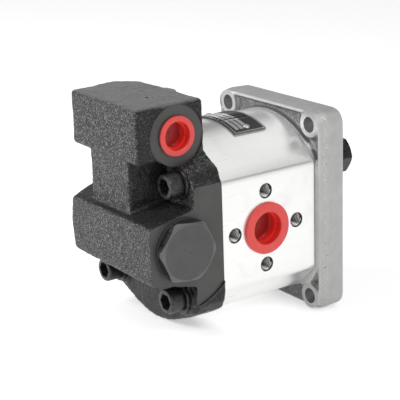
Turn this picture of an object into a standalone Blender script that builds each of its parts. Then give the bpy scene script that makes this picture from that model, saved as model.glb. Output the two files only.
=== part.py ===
"""External gear pump with a flow-priority valve in its cast rear cover.

Frame: metres, +Z up. The origin is on the drive shaft's axis, in the plane of
the flange's mounting face. +Y runs along the shaft towards the drive end, +X
points to the suction port, and the rear cover lies towards -Y.
"""
import math

import bmesh
import bpy
from mathutils import Matrix, Vector

MM = 0.001

# Fits
GAP = 0.3 * MM
RUNNING_GAP = 0.3 * MM

# Vertices closer than this are one, so each Boolean leaves a clean seam
WELD_DISTANCE = 0.002 * MM

# Facets of round pieces
FINE = 36
ROUND = 24
SMALL = 16
TINY = 12

# Gears: a standard pair whose shafts lie above and below the flange's middle
CENTRE_DISTANCE = 31.2 * MM
TEETH = 12
PRESSURE_ANGLE = math.radians(25)
ADDENDUM_FACTOR = 1.0
DEDENDUM_FACTOR = 1.25
BACKLASH = 0.35 * MM
GEAR_WIDTH = 20.0 * MM
FLANK_POINTS = 3

# Shafts
JOURNAL_RADIUS = 9.0 * MM
EDGE_BREAK = 0.8 * MM
TAPER_START = 9.5 * MM
TAPER_LENGTH = 15.0 * MM
TAPER_LARGE_RADIUS = 8.5 * MM
TAPER_RATIO = 1 / 8
THREAD_RADIUS = 6.0 * MM
SHAFT_REACH = 40.5 * MM
KEY_DISC_RADIUS = 6.5 * MM
KEY_HEIGHT = 5.0 * MM
KEY_WIDTH = 3.2 * MM
KEY_STANDOUT = 1.6 * MM
LOCK_WASHER_RADIUS = 10.5 * MM
LOCK_WASHER_THICKNESS = 2.2 * MM
NUT_ACROSS_FLATS = 19.0 * MM
NUT_HEIGHT = 10.0 * MM

# Extruded body: round top and bottom, two flat sides
BODY_LENGTH = 59.7 * MM
BODY_TOP_WALL = 16.4 * MM
BODY_SIDE_WALL = 22.9 * MM

# Bearings and seals inside the body
BUSH_WALL = 1.2 * MM
BUSH_RECESS = 0.5 * MM
BALANCE_GROOVE_DEPTH = 2.2 * MM
BALANCE_RIM_WALL = 1.9 * MM
BALANCE_BRIDGE = 6.0 * MM
BODY_SEAL_WALL = 2.7 * MM
BODY_SEAL_WIDTH = 2.0 * MM
BODY_SEAL_DEPTH = 1.8 * MM

# Suction port in the right side of the body
PORT_Y = -49.5 * MM
SUCTION_RADIUS = 10.0 * MM
PORT_CIRCLE_RADIUS = 20.0 * MM
PORT_THREAD_RADIUS = 3.8 * MM
PORT_THREAD_DEPTH = 13.0 * MM
COUNTERSINK = 0.7 * MM

# Delivery drilling through the body into the cover
DELIVERY_DRILL_X = -14.0 * MM
DRILL_RADIUS = 5.0 * MM
BODY_DRILL_DEPTH = 34.0 * MM

# Front flange, die cast with a recessed back
FLANGE_WIDTH = 90.0 * MM
FLANGE_HEIGHT = 111.4 * MM
FLANGE_CORNER = 8.0 * MM
FLANGE_THICKNESS = 17.0 * MM
RIM_DEPTH = 16.1 * MM
FLOOR_DEPTH = 13.2 * MM
RIM_WALL = 2.4 * MM
PARTING_DEPTH = 10.5 * MM
SIDE_DRAFT = 1.0 * MM
END_DRAFT = 0.5 * MM
FRONT_DRAFT = 0.3 * MM
FLANGE_EDGE = 1.0 * MM
FLANGE_HOLES_X = 71.5 * MM
FLANGE_HOLES_Z = 96.2 * MM
FLANGE_HOLE_RADIUS = 4.25 * MM
FLANGE_BOSS_RADIUS = 7.0 * MM
PILOT_RADIUS = 18.25 * MM
PILOT_HEIGHT = 6.0 * MM
SHAFT_PASSAGE_WALL = 1.0 * MM

# Shaft seal in the pilot, held by a snap ring
SEAL_RADIUS = 14.7 * MM
SEAL_WIDTH = 7.0 * MM
SEAL_FLOOR = -3.5 * MM
SEAL_SHELL = 1.7 * MM
SNAP_RING_THICKNESS = 1.2 * MM
SNAP_RING_WIDTH = 2.6 * MM
SNAP_GROOVE_DEPTH = 1.0 * MM
SNAP_RING_OPENING = math.radians(40)

# Cap screws that clamp cover, body and flange
SCREW_SPACING_X = 60.6 * MM
SCREW_SPACING_Z = 60.6 * MM
SCREW_RADIUS = 4.0 * MM
SCREW_LENGTH = 90.0 * MM
SCREW_HOLE_CLEARANCE = 0.5 * MM
HEAD_RADIUS = 6.5 * MM
HEAD_HEIGHT = 8.0 * MM
SOCKET_ACROSS_FLATS = 8.0 * MM
SOCKET_DEPTH = 5.0 * MM
WASHER_RADIUS = 8.0 * MM
WASHER_THICKNESS = 1.6 * MM
SCREW_TIP_CLEARANCE = 1.2 * MM

# Dowels across both joints, on one diagonal
DOWEL_RADIUS = 2.5 * MM
DOWEL_LENGTH = 10.0 * MM
DOWEL_X = 33.0 * MM
DOWEL_Z = 12.0 * MM

# Joint outline of flange pad and cover: the body's form plus four screw lobes
JOINT_LAND = 0.4 * MM
UPPER_LOBE_RADIUS = 9.8 * MM
LOWER_LOBE_RADIUS = 11.3 * MM
JOINT_POINTS = 56

# Rear cover: joint plate
PLATE_THICKNESS = 16.7 * MM
CAST_SIDE = 0.5 * MM
CAST_EDGE = 1.4 * MM
LOWER_PAD_RADIUS = 9.3 * MM
LOWER_PAD_HEIGHT = 2.2 * MM

# Rear cover: lower cross block that houses the valve
VALVE_Y = -101.3 * MM
BLOCK_REAR_WALL = 19.4 * MM
BLOCK_HALF_HEIGHT_TOP = 14.7 * MM
BLOCK_HALF_HEIGHT_BOTTOM = 15.8 * MM
BLOCK_DRAFT_TOP = 0.18
BLOCK_DRAFT_BOTTOM = 0.225
BLOCK_LEFT = -35.0 * MM
BLOCK_LEFT_BULGE = 2.8 * MM
BLOCK_LEFT_MIDDLE = -41.5 * MM
BLOCK_CORNER = 2.5 * MM
BLOCK_EDGE = 1.2 * MM
MILL_RADIUS = 33.0 * MM
MILL_TOP = 30.2 * MM
MILL_STEP = 0.2 * MM

# Rear cover: neck between the blocks
NECK_REAR = -116.2 * MM
NECK_LEFT = -20.6 * MM
NECK_RIGHT = 16.8 * MM
NECK_RIGHT_DRAFT = 0.12
NECK_CORNER = 1.5 * MM

# Rear cover: upper block with the delivery port
UPPER_BOTTOM = 42.7 * MM
UPPER_TOP = 71.0 * MM
UPPER_REAR = -117.6 * MM
UPPER_FRONT_STEP = 0.6 * MM
UPPER_LEFT = -35.2 * MM
UPPER_LEFT_SWELL = 3.8 * MM
UPPER_LEFT_CHAMFER = 11.0 * MM
UPPER_RIGHT = 28.4 * MM
UPPER_EDGE = 1.6 * MM
LUG_X = -4.0 * MM
LUG_RADIUS = 9.0 * MM
LUG_OVERHANG = 2.4 * MM
LUG_HEIGHT = 15.0 * MM
DELIVERY_Y = -94.3 * MM
DELIVERY_HEIGHT = 54.5 * MM
DELIVERY_BOSS_RADIUS = 15.7 * MM
SPOT_FACE_RADIUS = 15.9 * MM
SPOT_FACE_DEPTH = 0.4 * MM
SPOT_RELIEF_RADIUS = 11.4 * MM
SPOT_RELIEF_DEPTH = 0.1 * MM
DELIVERY_THREAD_RADIUS = 8.5 * MM
DELIVERY_THREAD_DEPTH = 16.0 * MM
DELIVERY_DRILL_REACH = -8.0 * MM
RISER_X = -4.0 * MM

# Valve in the lower block
SPOOL_RADIUS = 8.0 * MM
SPOOL_BORE_END = -28.0 * MM
SPOOL_LAND = 6.0 * MM
SPOOL_GROOVE_RADIUS = 5.5 * MM
SPOOL_LENGTH = 39.0 * MM
SPOOL_GUIDE_RADIUS = 3.2 * MM
SPOOL_GUIDE_LENGTH = 3.5 * MM
SPRING_WIRE_RADIUS = 0.7 * MM
SPRING_COIL_RADIUS = 5.2 * MM
SPRING_TURNS = 4
SPRING_WIRE_SIDES = 5
VALVE_THREAD_RADIUS = 10.9 * MM
VALVE_THREAD_LENGTH = 13.0 * MM
VALVE_HEX = 30.0 * MM
VALVE_BAR_RADIUS = 16.8 * MM
VALVE_HEX_HEIGHT = 4.1 * MM
VALVE_HEX_TURN = math.radians(-6)
VALVE_RING_THICKNESS = 1.0 * MM
VALVE_RING_RADIUS = 16.6 * MM
HEX_CHAMFER_ANGLE = math.radians(30)
HEX_CHAMFER_SHARE = 0.963

# Transport plugs in both ports
PLUG_LIP_THICKNESS = 1.4 * MM
PLUG_FLOOR = 1.5 * MM
PLUG_STEP = 0.6 * MM
SUCTION_LIP_RADIUS = 13.8 * MM
SUCTION_CUP_WALL = 1.0 * MM
SUCTION_CUP_DEPTH = 9.0 * MM
DELIVERY_LIP_RADIUS = 10.25 * MM
DELIVERY_CUP_WALL = 0.9 * MM
DELIVERY_CUP_DEPTH = 7.5 * MM

# Name plate, bent over the top of the body
PLATE_THICKNESS_TOP = 0.8 * MM
PLATE_HALF_ANGLE = math.radians(24.6)
PLATE_PIN_ANGLE = math.radians(20.0)
PLATE_CENTRE_Y = -43.2 * MM
PLATE_DEPTH_Y = 20.2 * MM
PIN_HEAD_RADIUS = 2.0 * MM
PIN_HEAD_HEIGHT = 0.8 * MM
PIN_RADIUS = 1.0 * MM
PIN_LENGTH = 5.0 * MM

# Heights of the shafts and of the flange's middle
DRIVE_Z = 0.0
DRIVEN_Z = -CENTRE_DISTANCE
MIDDLE_Z = -CENTRE_DISTANCE / 2
HALF_CENTRES = CENTRE_DISTANCE / 2

# Gear form
MODULE = CENTRE_DISTANCE / TEETH
PITCH_RADIUS = CENTRE_DISTANCE / 2
TIP_RADIUS = PITCH_RADIUS + ADDENDUM_FACTOR * MODULE
ROOT_RADIUS = PITCH_RADIUS - DEDENDUM_FACTOR * MODULE
CHAMBER_RADIUS = TIP_RADIUS + RUNNING_GAP
BLOCK_RADIUS = CHAMBER_RADIUS - GAP

# Stations along the shaft
FLANGE_JOINT = -FLANGE_THICKNESS
BODY_FRONT = FLANGE_JOINT - GAP
BODY_REAR = BODY_FRONT - BODY_LENGTH
COVER_JOINT = BODY_REAR - GAP
COVER_BACK = COVER_JOINT - PLATE_THICKNESS
DEEPEST_SCREW_TIP = COVER_BACK - WASHER_THICKNESS - 2 * GAP + SCREW_LENGTH
THREAD_FLOOR = DEEPEST_SCREW_TIP + SCREW_TIP_CLEARANCE
GEAR_MIDDLE = (FLANGE_JOINT + COVER_JOINT) / 2
GEAR_FRONT = GEAR_MIDDLE + GEAR_WIDTH / 2
GEAR_REAR = GEAR_MIDDLE - GEAR_WIDTH / 2
BLOCK_REAR = VALVE_Y - BLOCK_REAR_WALL

# Body section
BODY_RADIUS = HALF_CENTRES + CHAMBER_RADIUS + BODY_TOP_WALL
BODY_HALF_WIDTH = CHAMBER_RADIUS + BODY_SIDE_WALL
MILLED_X = BODY_HALF_WIDTH - MILL_STEP
SPOT_FACE_X = UPPER_RIGHT - SPOT_FACE_DEPTH
SCREW_HOLE_RADIUS = SCREW_RADIUS + SCREW_HOLE_CLEARANCE
BUSH_INNER = JOURNAL_RADIUS + RUNNING_GAP
BUSH_OUTER = BUSH_INNER + BUSH_WALL

AXIS_VECTORS = {"X": Vector((1, 0, 0)), "Y": Vector((0, 1, 0)), "Z": Vector((0, 0, 1))}


# Outlines

def arc(centre, radius, start, end, steps):
    """Points on an arc, both ends included."""
    return [
        (
            centre[0] + radius * math.cos(start + (end - start) * i / steps),
            centre[1] + radius * math.sin(start + (end - start) * i / steps),
        )
        for i in range(steps + 1)
    ]


def circle(centre, radius, steps):
    """Points around a full circle."""
    return arc(centre, radius, 0, math.tau, steps)[:-1]


def rounded_rectangle(left, right, bottom, top, radius, steps=4):
    """Rectangle with its four corners as arcs, counter-clockwise."""
    corners = (
        ((right - radius, top - radius), 0),
        ((left + radius, top - radius), 1),
        ((left + radius, bottom + radius), 2),
        ((right - radius, bottom + radius), 3),
    )
    points = []
    for centre, quarter in corners:
        start = quarter * math.pi / 2
        points += arc(centre, radius, start, start + math.pi / 2, steps)
    return points


def hexagon(centre, across_flats, turn):
    """Regular hexagon with its first corner at the given turn."""
    corner = across_flats / 2 / math.cos(math.pi / 6)
    return [
        (
            centre[0] + corner * math.cos(turn + i * math.pi / 3),
            centre[1] + corner * math.sin(turn + i * math.pi / 3),
        )
        for i in range(6)
    ]


def flat_sided_round(radius, half_width, steps=20):
    """Round section about the flange's middle, cut by two upright flats."""
    edge = math.acos(half_width / radius)
    upper = arc((0, MIDDLE_Z), radius, edge, math.pi - edge, steps)
    lower = arc((0, MIDDLE_Z), radius, math.pi + edge, math.tau - edge, steps)
    return upper + lower


def figure_eight(radius, steps=22):
    """Outline of two equal circles on the shaft axes that run into each other."""
    waist = math.asin(HALF_CENTRES / radius)
    upper = arc((0, DRIVE_Z), radius, -waist, math.pi + waist, steps)
    lower = arc((0, DRIVEN_Z), radius, math.pi - waist, math.tau + waist, steps)
    return upper[:-1] + lower[:-1]


def waist_radius(half_waist):
    """Radius of the figure eight whose waist has the given half width."""
    return math.hypot(HALF_CENTRES, half_waist)


def stadium(radius, steps=12):
    """Oval around both shafts: two half circles joined by straight sides."""
    upper = arc((0, DRIVE_Z), radius, 0, math.pi, steps)
    lower = arc((0, DRIVEN_Z), radius, math.pi, math.tau, steps)
    return upper + lower


def lower_side_reach(way, centre, lobe, radius):
    """Reach of the straight side that runs from a lower lobe onto the round form."""
    hand = math.copysign(1, centre.x)
    turn = math.acos((radius - lobe) / centre.length)
    normal = centre.normalized()
    normal.rotate(Matrix.Rotation(-hand * turn, 2))
    end = centre + lobe * normal
    between = hand * normal.cross(way) >= 0 and hand * way.cross(end) >= 0
    return radius / normal.dot(way) if between and normal.dot(way) > 0 else 0


def joint_outline(half_width, inset=0.0):
    """Round joint form with a lobe at each screw, cut by two upright flats."""
    radius = BODY_RADIUS + JOINT_LAND - inset
    points = []
    for i in range(JOINT_POINTS):
        angle = math.tau * i / JOINT_POINTS
        way = Vector((math.cos(angle), math.sin(angle)))
        reach = radius
        for x, z in screw_places():
            centre = Vector((x, z - MIDDLE_Z))
            lobe = (UPPER_LOBE_RADIUS if z > MIDDLE_Z else LOWER_LOBE_RADIUS) - inset
            if z < MIDDLE_Z:
                reach = max(reach, lower_side_reach(way, centre, lobe, radius))
            beside = abs(centre.cross(way))
            if beside < lobe and centre.dot(way) > 0:
                reach = max(reach, centre.dot(way) + math.sqrt(lobe**2 - beside**2))
        if abs(way.x) > 0:
            reach = min(reach, (half_width - inset) / abs(way.x))
        points.append((way.x * reach, MIDDLE_Z + way.y * reach))
    return points


def gear_outline(centre_z, first_tooth):
    """Involute teeth around a shaft, with one tooth centred at first_tooth."""
    base = PITCH_RADIUS * math.cos(PRESSURE_ANGLE)
    start = max(base, ROOT_RADIUS)
    pitch_half = math.pi / (2 * TEETH) - BACKLASH / (4 * PITCH_RADIUS)

    def half_angle(radius):
        pressure = math.acos(min(1, base / radius))
        involute = math.tan(pressure) - pressure
        at_pitch = math.tan(PRESSURE_ANGLE) - PRESSURE_ANGLE
        return pitch_half + at_pitch - involute

    radii = [start + (TIP_RADIUS - start) * i / FLANK_POINTS for i in range(FLANK_POINTS + 1)]
    flank = [(radius, half_angle(radius)) for radius in radii]
    root = [(ROOT_RADIUS, half_angle(start))] if ROOT_RADIUS < start else []
    points = []
    for tooth in range(TEETH):
        middle = first_tooth + math.tau * tooth / TEETH
        rising = [(radius, middle - half) for radius, half in root + flank]
        falling = [(radius, middle + half) for radius, half in reversed(root + flank)]
        for radius, angle in rising + falling:
            points.append((radius * math.cos(angle), centre_z + radius * math.sin(angle)))
    return points


def inset_outline(points, distance):
    """Outline moved inwards by an even distance, corner by corner."""
    area = sum(
        a[0] * b[1] - b[0] * a[1] for a, b in zip(points, points[1:] + points[:1])
    )
    side = 1 if area > 0 else -1
    moved = []
    for i, point in enumerate(points):
        before = Vector(point) - Vector(points[i - 1])
        after = Vector(points[(i + 1) % len(points)]) - Vector(point)
        normal_before = Vector((-before.y, before.x)).normalized() * side
        normal_after = Vector((-after.y, after.x)).normalized() * side
        mitre = normal_before + normal_after
        scale = 2 * distance / max(mitre.length_squared, 0.5)
        moved.append(tuple(Vector(point) + mitre * scale))
    return moved


# Places

def screw_places():
    """Centres of the four cap screws, as x and z."""
    return [
        (side * SCREW_SPACING_X / 2, MIDDLE_Z + height * SCREW_SPACING_Z / 2)
        for height in (1, -1)
        for side in (1, -1)
    ]


def screw_seat(z):
    """Where a cap screw's washer seats on the cover."""
    return COVER_BACK if z > MIDDLE_Z else COVER_BACK - LOWER_PAD_HEIGHT


def flange_hole_places():
    """Centres of the four mounting holes, as x and z."""
    return [
        (side * FLANGE_HOLES_X / 2, MIDDLE_Z + height * FLANGE_HOLES_Z / 2)
        for height in (1, -1)
        for side in (1, -1)
    ]


def dowel_places():
    """Centres of the two dowels of a joint, on one diagonal."""
    return [(DOWEL_X, MIDDLE_Z + DOWEL_Z), (-DOWEL_X, MIDDLE_Z - DOWEL_Z)]


def port_thread_places():
    """Centres of the suction port's tapped holes, as y and z."""
    return [
        (
            PORT_Y + PORT_CIRCLE_RADIUS * math.cos(i * math.pi / 2),
            MIDDLE_Z + PORT_CIRCLE_RADIUS * math.sin(i * math.pi / 2),
        )
        for i in range(4)
    ]


# Solids

def place(axis, point, station):
    """Point of an outline, at a station along the axis it is drawn across."""
    if axis == "X":
        return Vector((station, point[0], point[1]))
    if axis == "Y":
        return Vector((point[0], station, point[1]))
    return Vector((point[0], point[1], station))


def add_loop(bm, axis, outline, station):
    """Vertices of an outline at a station."""
    return [bm.verts.new(place(axis, point, station)) for point in outline]


def add_wall(bm, near, far):
    """Band of faces between two loops with equal counts of vertices."""
    for i in range(len(near)):
        bm.faces.new((near[i - 1], near[i], far[i], far[i - 1]))


def loft(axis, sections):
    """Solid through outlines with equal counts of points, given with stations."""
    bm = bmesh.new()
    loops = [add_loop(bm, axis, outline, station) for station, outline in sections]
    for near, far in zip(loops, loops[1:]):
        add_wall(bm, near, far)
    bm.faces.new(loops[0])
    bm.faces.new(loops[-1])
    bmesh.ops.recalc_face_normals(bm, faces=bm.faces)
    return bm


def prism(axis, outline, start, end):
    """Outline extruded from one station to another."""
    return loft(axis, [(start, outline), (end, outline)])


def rounded_end(station, outline, radius, inwards):
    """Sections that round off the end of a casting at the station."""
    shallow = radius * (1 - math.sqrt(0.5))
    return [
        (station + inwards * radius, outline),
        (station + inwards * shallow, inset_outline(outline, shallow)),
        (station, inset_outline(outline, radius)),
    ]


def ring_prism(axis, outer, inner, start, end):
    """Ring between two outlines with equal counts of points."""
    bm = bmesh.new()
    corners = ((outer, start), (outer, end), (inner, end), (inner, start))
    loops = [add_loop(bm, axis, outline, station) for outline, station in corners]
    for near, far in zip(loops, loops[1:] + loops[:1]):
        add_wall(bm, near, far)
    bmesh.ops.recalc_face_normals(bm, faces=bm.faces)
    return bm


def turned(axis, centre, profile, steps=ROUND, closed=False):
    """Profile of radius and station, turned about an axis through the centre."""
    bm = bmesh.new()
    verts = [
        bm.verts.new(place(axis, (centre[0] + radius, centre[1]), station))
        for radius, station in profile
    ]
    edges = [bm.edges.new(pair) for pair in zip(verts, verts[1:])]
    if closed:
        edges.append(bm.edges.new((verts[-1], verts[0])))
    bmesh.ops.spin(
        bm,
        geom=verts + edges,
        cent=place(axis, centre, 0),
        axis=AXIS_VECTORS[axis],
        angle=math.tau,
        steps=steps,
        use_merge=True,
    )
    bmesh.ops.remove_doubles(bm, verts=bm.verts, dist=0.001 * MM)
    bmesh.ops.recalc_face_normals(bm, faces=bm.faces)
    return bm


def cylinder(axis, centre, radius, start, end, steps=ROUND):
    """Plain cylinder between two stations."""
    return turned(axis, centre, [(0, start), (radius, start), (radius, end), (0, end)], steps)


def tube(axis, centre, inner, outer, start, end, steps=ROUND):
    """Plain ring between two stations."""
    profile = [(inner, start), (outer, start), (outer, end), (inner, end)]
    return turned(axis, centre, profile, steps, closed=True)


def tapped_hole(axis, centre, radius, mouth, floor, steps=SMALL):
    """Cutter for a blind hole with a countersunk mouth and a drilled point."""
    inwards = 1 if floor > mouth else -1
    profile = [
        (0, mouth - inwards * COUNTERSINK),
        (radius + 2 * COUNTERSINK, mouth - inwards * COUNTERSINK),
        (radius, mouth + inwards * COUNTERSINK),
        (radius, floor),
        (0, floor + inwards * radius / 2),
    ]
    return turned(axis, centre, profile, steps)


def hexagon_form(axis, centre, across_flats, turn, start, end, both, corner):
    """Hexagon head with chamfered corners at its end, or at both of its ends."""
    chamfer = across_flats / 2 * HEX_CHAMFER_SHARE
    drop = (corner - chamfer) * math.tan(HEX_CHAMFER_ANGLE)
    way = 1 if end > start else -1
    rear = [(0, start), (chamfer, start), (corner, start + way * drop)]
    if not both:
        rear = [(0, start - way * drop), (corner, start - way * drop)]
    profile = rear + [(corner, end - way * drop), (chamfer, end), (0, end)]
    reach = GAP if both else 0
    outline = hexagon(centre, across_flats, turn)
    form = prism(axis, outline, start - way * reach, end + way * GAP)
    return form, turned(axis, centre, profile)


# Objects

def finish(name, colour, roughness, metallic):
    """Surface finish as a Principled material."""
    material = bpy.data.materials.new(name)
    material.use_nodes = True
    shader = material.node_tree.nodes["Principled BSDF"]
    shader.inputs["Base Color"].default_value = (*colour, 1)
    shader.inputs["Roughness"].default_value = roughness
    shader.inputs["Metallic"].default_value = metallic
    return material


def add_object(name, bm, material=None):
    """Object from a solid, shaded smooth apart from its real edges."""
    mesh = bpy.data.meshes.new(name)
    bm.to_mesh(mesh)
    bm.free()
    mesh.shade_smooth()
    mesh.set_sharp_from_angle(angle=math.radians(32))
    if material:
        mesh.materials.append(material)
    piece = bpy.data.objects.new(name, mesh)
    bpy.context.collection.objects.link(piece)
    return piece


def boolean(piece, operation, name, forms):
    """Live Boolean with separate forms; its tool stays as a hidden wire object."""
    tool_form = bmesh.new()
    for form in forms:
        mesh = bpy.data.meshes.new(name)
        form.to_mesh(mesh)
        form.free()
        tool_form.from_mesh(mesh)
        bpy.data.meshes.remove(mesh)
    tool = add_object(f"{piece.name}.{name}", tool_form)
    tool.hide_render = True
    tool.display_type = "WIRE"
    modifier = piece.modifiers.new(name, "BOOLEAN")
    modifier.operation = operation
    modifier.solver = "EXACT"
    modifier.object = tool
    seam = piece.modifiers.new(f"{name}_seam", "WELD")
    seam.merge_threshold = WELD_DISTANCE


def cut(piece, name, *forms):
    """Take forms that stand apart from each other away from a piece."""
    boolean(piece, "DIFFERENCE", name, forms)


def join(piece, name, *forms):
    """Add forms that stand apart from each other to a piece."""
    boolean(piece, "UNION", name, forms)


def cylinders(axis, centres, radius, start, end):
    """Equal cylinders at several centres."""
    return [cylinder(axis, centre, radius, start, end, SMALL) for centre in centres]


def cut_screw_holes(piece, start, end, radius):
    """Four screw holes along the shaft's direction."""
    cut(piece, "screw_holes", *cylinders("Y", screw_places(), radius, start, end))


def dowel_holes(joint, depth):
    """Cutters for two dowel holes that start at a joint face."""
    outside = joint - math.copysign(DOWEL_RADIUS, depth)
    radius = DOWEL_RADIUS + GAP
    return [cylinder("Y", xz, radius, outside, joint + depth, TINY) for xz in dowel_places()]


# Housing

def make_flange(material):
    """Recessed die-cast flange with corner bosses, pilot and joint pad."""
    half_width = FLANGE_WIDTH / 2
    half_height = FLANGE_HEIGHT / 2

    def outline(side_draft, end_draft):
        return rounded_rectangle(
            side_draft - half_width,
            half_width - side_draft,
            MIDDLE_Z - half_height + end_draft,
            MIDDLE_Z + half_height - end_draft,
            FLANGE_CORNER,
            6,
        )

    front = rounded_end(0, outline(FRONT_DRAFT, FRONT_DRAFT), FLANGE_EDGE, -1)
    sections = [
        *reversed(front),
        (-PARTING_DEPTH, outline(0, 0)),
        (-RIM_DEPTH, outline(SIDE_DRAFT, END_DRAFT)),
    ]
    flange = add_object("front_flange", loft("Y", sections), material)
    recess = rounded_rectangle(
        RIM_WALL - half_width,
        half_width - RIM_WALL,
        MIDDLE_Z - half_height - FLANGE_CORNER,
        MIDDLE_Z + half_height - RIM_WALL,
        FLANGE_CORNER - RIM_WALL,
    )
    cut(flange, "recess", prism("Y", recess, -FLOOR_DEPTH, -RIM_DEPTH - FLANGE_EDGE))
    root = -FLOOR_DEPTH + FLANGE_EDGE
    join(
        flange,
        "bosses_and_joint_pad",
        prism("Y", joint_outline(BODY_HALF_WIDTH + GAP), root, FLANGE_JOINT),
        *cylinders("Y", flange_hole_places(), FLANGE_BOSS_RADIUS, root, -RIM_DEPTH),
    )
    pilot = [
        (0, -FLANGE_EDGE),
        (PILOT_RADIUS, -FLANGE_EDGE),
        (PILOT_RADIUS, PILOT_HEIGHT - EDGE_BREAK),
        (PILOT_RADIUS - EDGE_BREAK, PILOT_HEIGHT),
        (0, PILOT_HEIGHT),
    ]
    join(flange, "pilot", turned("Y", (0, DRIVE_Z), pilot, FINE))
    beyond = PILOT_HEIGHT + EDGE_BREAK
    passage = JOURNAL_RADIUS + SHAFT_PASSAGE_WALL
    bore = SEAL_RADIUS + GAP
    groove_rear = snap_ring_rear() - GAP
    groove_front = snap_ring_rear() + SNAP_RING_THICKNESS + GAP
    shaft_bore = [
        (0, 2 * FLANGE_JOINT),
        (passage, 2 * FLANGE_JOINT),
        (passage, SEAL_FLOOR),
        (bore, SEAL_FLOOR),
        (bore, groove_rear),
        (bore + SNAP_GROOVE_DEPTH, groove_rear),
        (bore + SNAP_GROOVE_DEPTH, groove_front),
        (bore, groove_front),
        (bore, beyond),
        (0, beyond),
    ]
    cut(flange, "shaft_bore", turned("Y", (0, DRIVE_Z), shaft_bore))
    mounting_holes = [
        cylinder("Y", place_xz, FLANGE_HOLE_RADIUS, 2 * FLANGE_JOINT, PILOT_HEIGHT, ROUND)
        for place_xz in flange_hole_places()
    ]
    cut(flange, "mounting_holes", *mounting_holes)
    cut_screw_holes(flange, 2 * FLANGE_JOINT, THREAD_FLOOR, SCREW_RADIUS + GAP)
    cut(flange, "dowel_holes", *dowel_holes(FLANGE_JOINT, DOWEL_LENGTH / 2 + GAP))


def make_body(material):
    """Extruded body with the gear chamber, suction port and delivery drilling."""
    outline = flat_sided_round(BODY_RADIUS, BODY_HALF_WIDTH)
    body = add_object("pump_body", prism("Y", outline, BODY_FRONT, BODY_REAR), material)
    beyond = DOWEL_LENGTH
    chamber = prism("Y", figure_eight(CHAMBER_RADIUS), BODY_FRONT + beyond, BODY_REAR - beyond)
    cut(body, "gear_chamber", chamber)
    port_centre = (PORT_Y, MIDDLE_Z)
    outside = BODY_HALF_WIDTH + EDGE_BREAK
    floor = BODY_HALF_WIDTH - PORT_THREAD_DEPTH
    threads = [
        tapped_hole("X", place_yz, PORT_THREAD_RADIUS, BODY_HALF_WIDTH, floor)
        for place_yz in port_thread_places()
    ]
    suction_bore = cylinder("X", port_centre, SUCTION_RADIUS, 0, outside)
    cut(body, "suction_port", suction_bore, *threads)
    drilling = cylinder(
        "Y",
        (DELIVERY_DRILL_X, MIDDLE_Z),
        DRILL_RADIUS,
        BODY_REAR - beyond,
        BODY_REAR + BODY_DRILL_DEPTH,
        SMALL,
    )
    cut(body, "delivery_drilling", drilling)
    cut_screw_holes(body, BODY_FRONT + beyond, BODY_REAR - beyond, SCREW_HOLE_RADIUS)
    hole_depth = DOWEL_LENGTH / 2 + GAP
    front_holes = dowel_holes(BODY_FRONT, -hole_depth)
    rear_holes = dowel_holes(BODY_REAR, hole_depth)
    cut(body, "dowel_holes", *front_holes, *rear_holes)
    inner, outer = body_seal_radii()
    grooves = [
        ring_prism(
            "Y",
            stadium(outer + GAP),
            stadium(inner - GAP),
            face - BODY_SEAL_DEPTH,
            face + BODY_SEAL_DEPTH,
        )
        for face in (BODY_FRONT, BODY_REAR)
    ]
    cut(body, "seal_grooves", *grooves)
    floor = BODY_RADIUS - PIN_LENGTH - GAP
    cut(body, "plate_pin_holes", *plate_pin_holes(floor, BODY_RADIUS + PIN_LENGTH))


def over_top(angle):
    """Turn about the body's own axis, away from straight up."""
    return Matrix.Translation((0, 0, MIDDLE_Z)) @ Matrix.Rotation(angle, 4, "Y")


def plate_pin_holes(start, end):
    """Cutters for the name plate's pins, between two radii of the body."""
    holes = []
    for side in (1, -1):
        hole = cylinder("Z", (0, PLATE_CENTRE_Y), PIN_RADIUS + GAP, start, end, SMALL // 2)
        hole.transform(over_top(side * PLATE_PIN_ANGLE))
        holes.append(hole)
    return holes


def valve_block_outline(left, bulge, drop, rise):
    """Section of the lower block: straight on the right, bulged on the left."""
    right = BODY_HALF_WIDTH + CAST_SIDE
    bottom = MIDDLE_Z - BLOCK_HALF_HEIGHT_BOTTOM - drop
    top = MIDDLE_Z + BLOCK_HALF_HEIGHT_TOP + rise
    corners = rounded_rectangle(left, right, bottom, top, BLOCK_CORNER)
    middle = (bottom + top) / 2
    half = (top - bottom) / 2
    points = []
    for x, z in corners:
        on_left = x < left + BLOCK_CORNER + GAP
        swell = bulge * (1 - ((z - middle) / half) ** 2) if on_left else 0
        points.append((x - swell, z))
    half_points = len(points) // 2
    points.insert(half_points, (left - bulge, middle))
    return points


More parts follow.
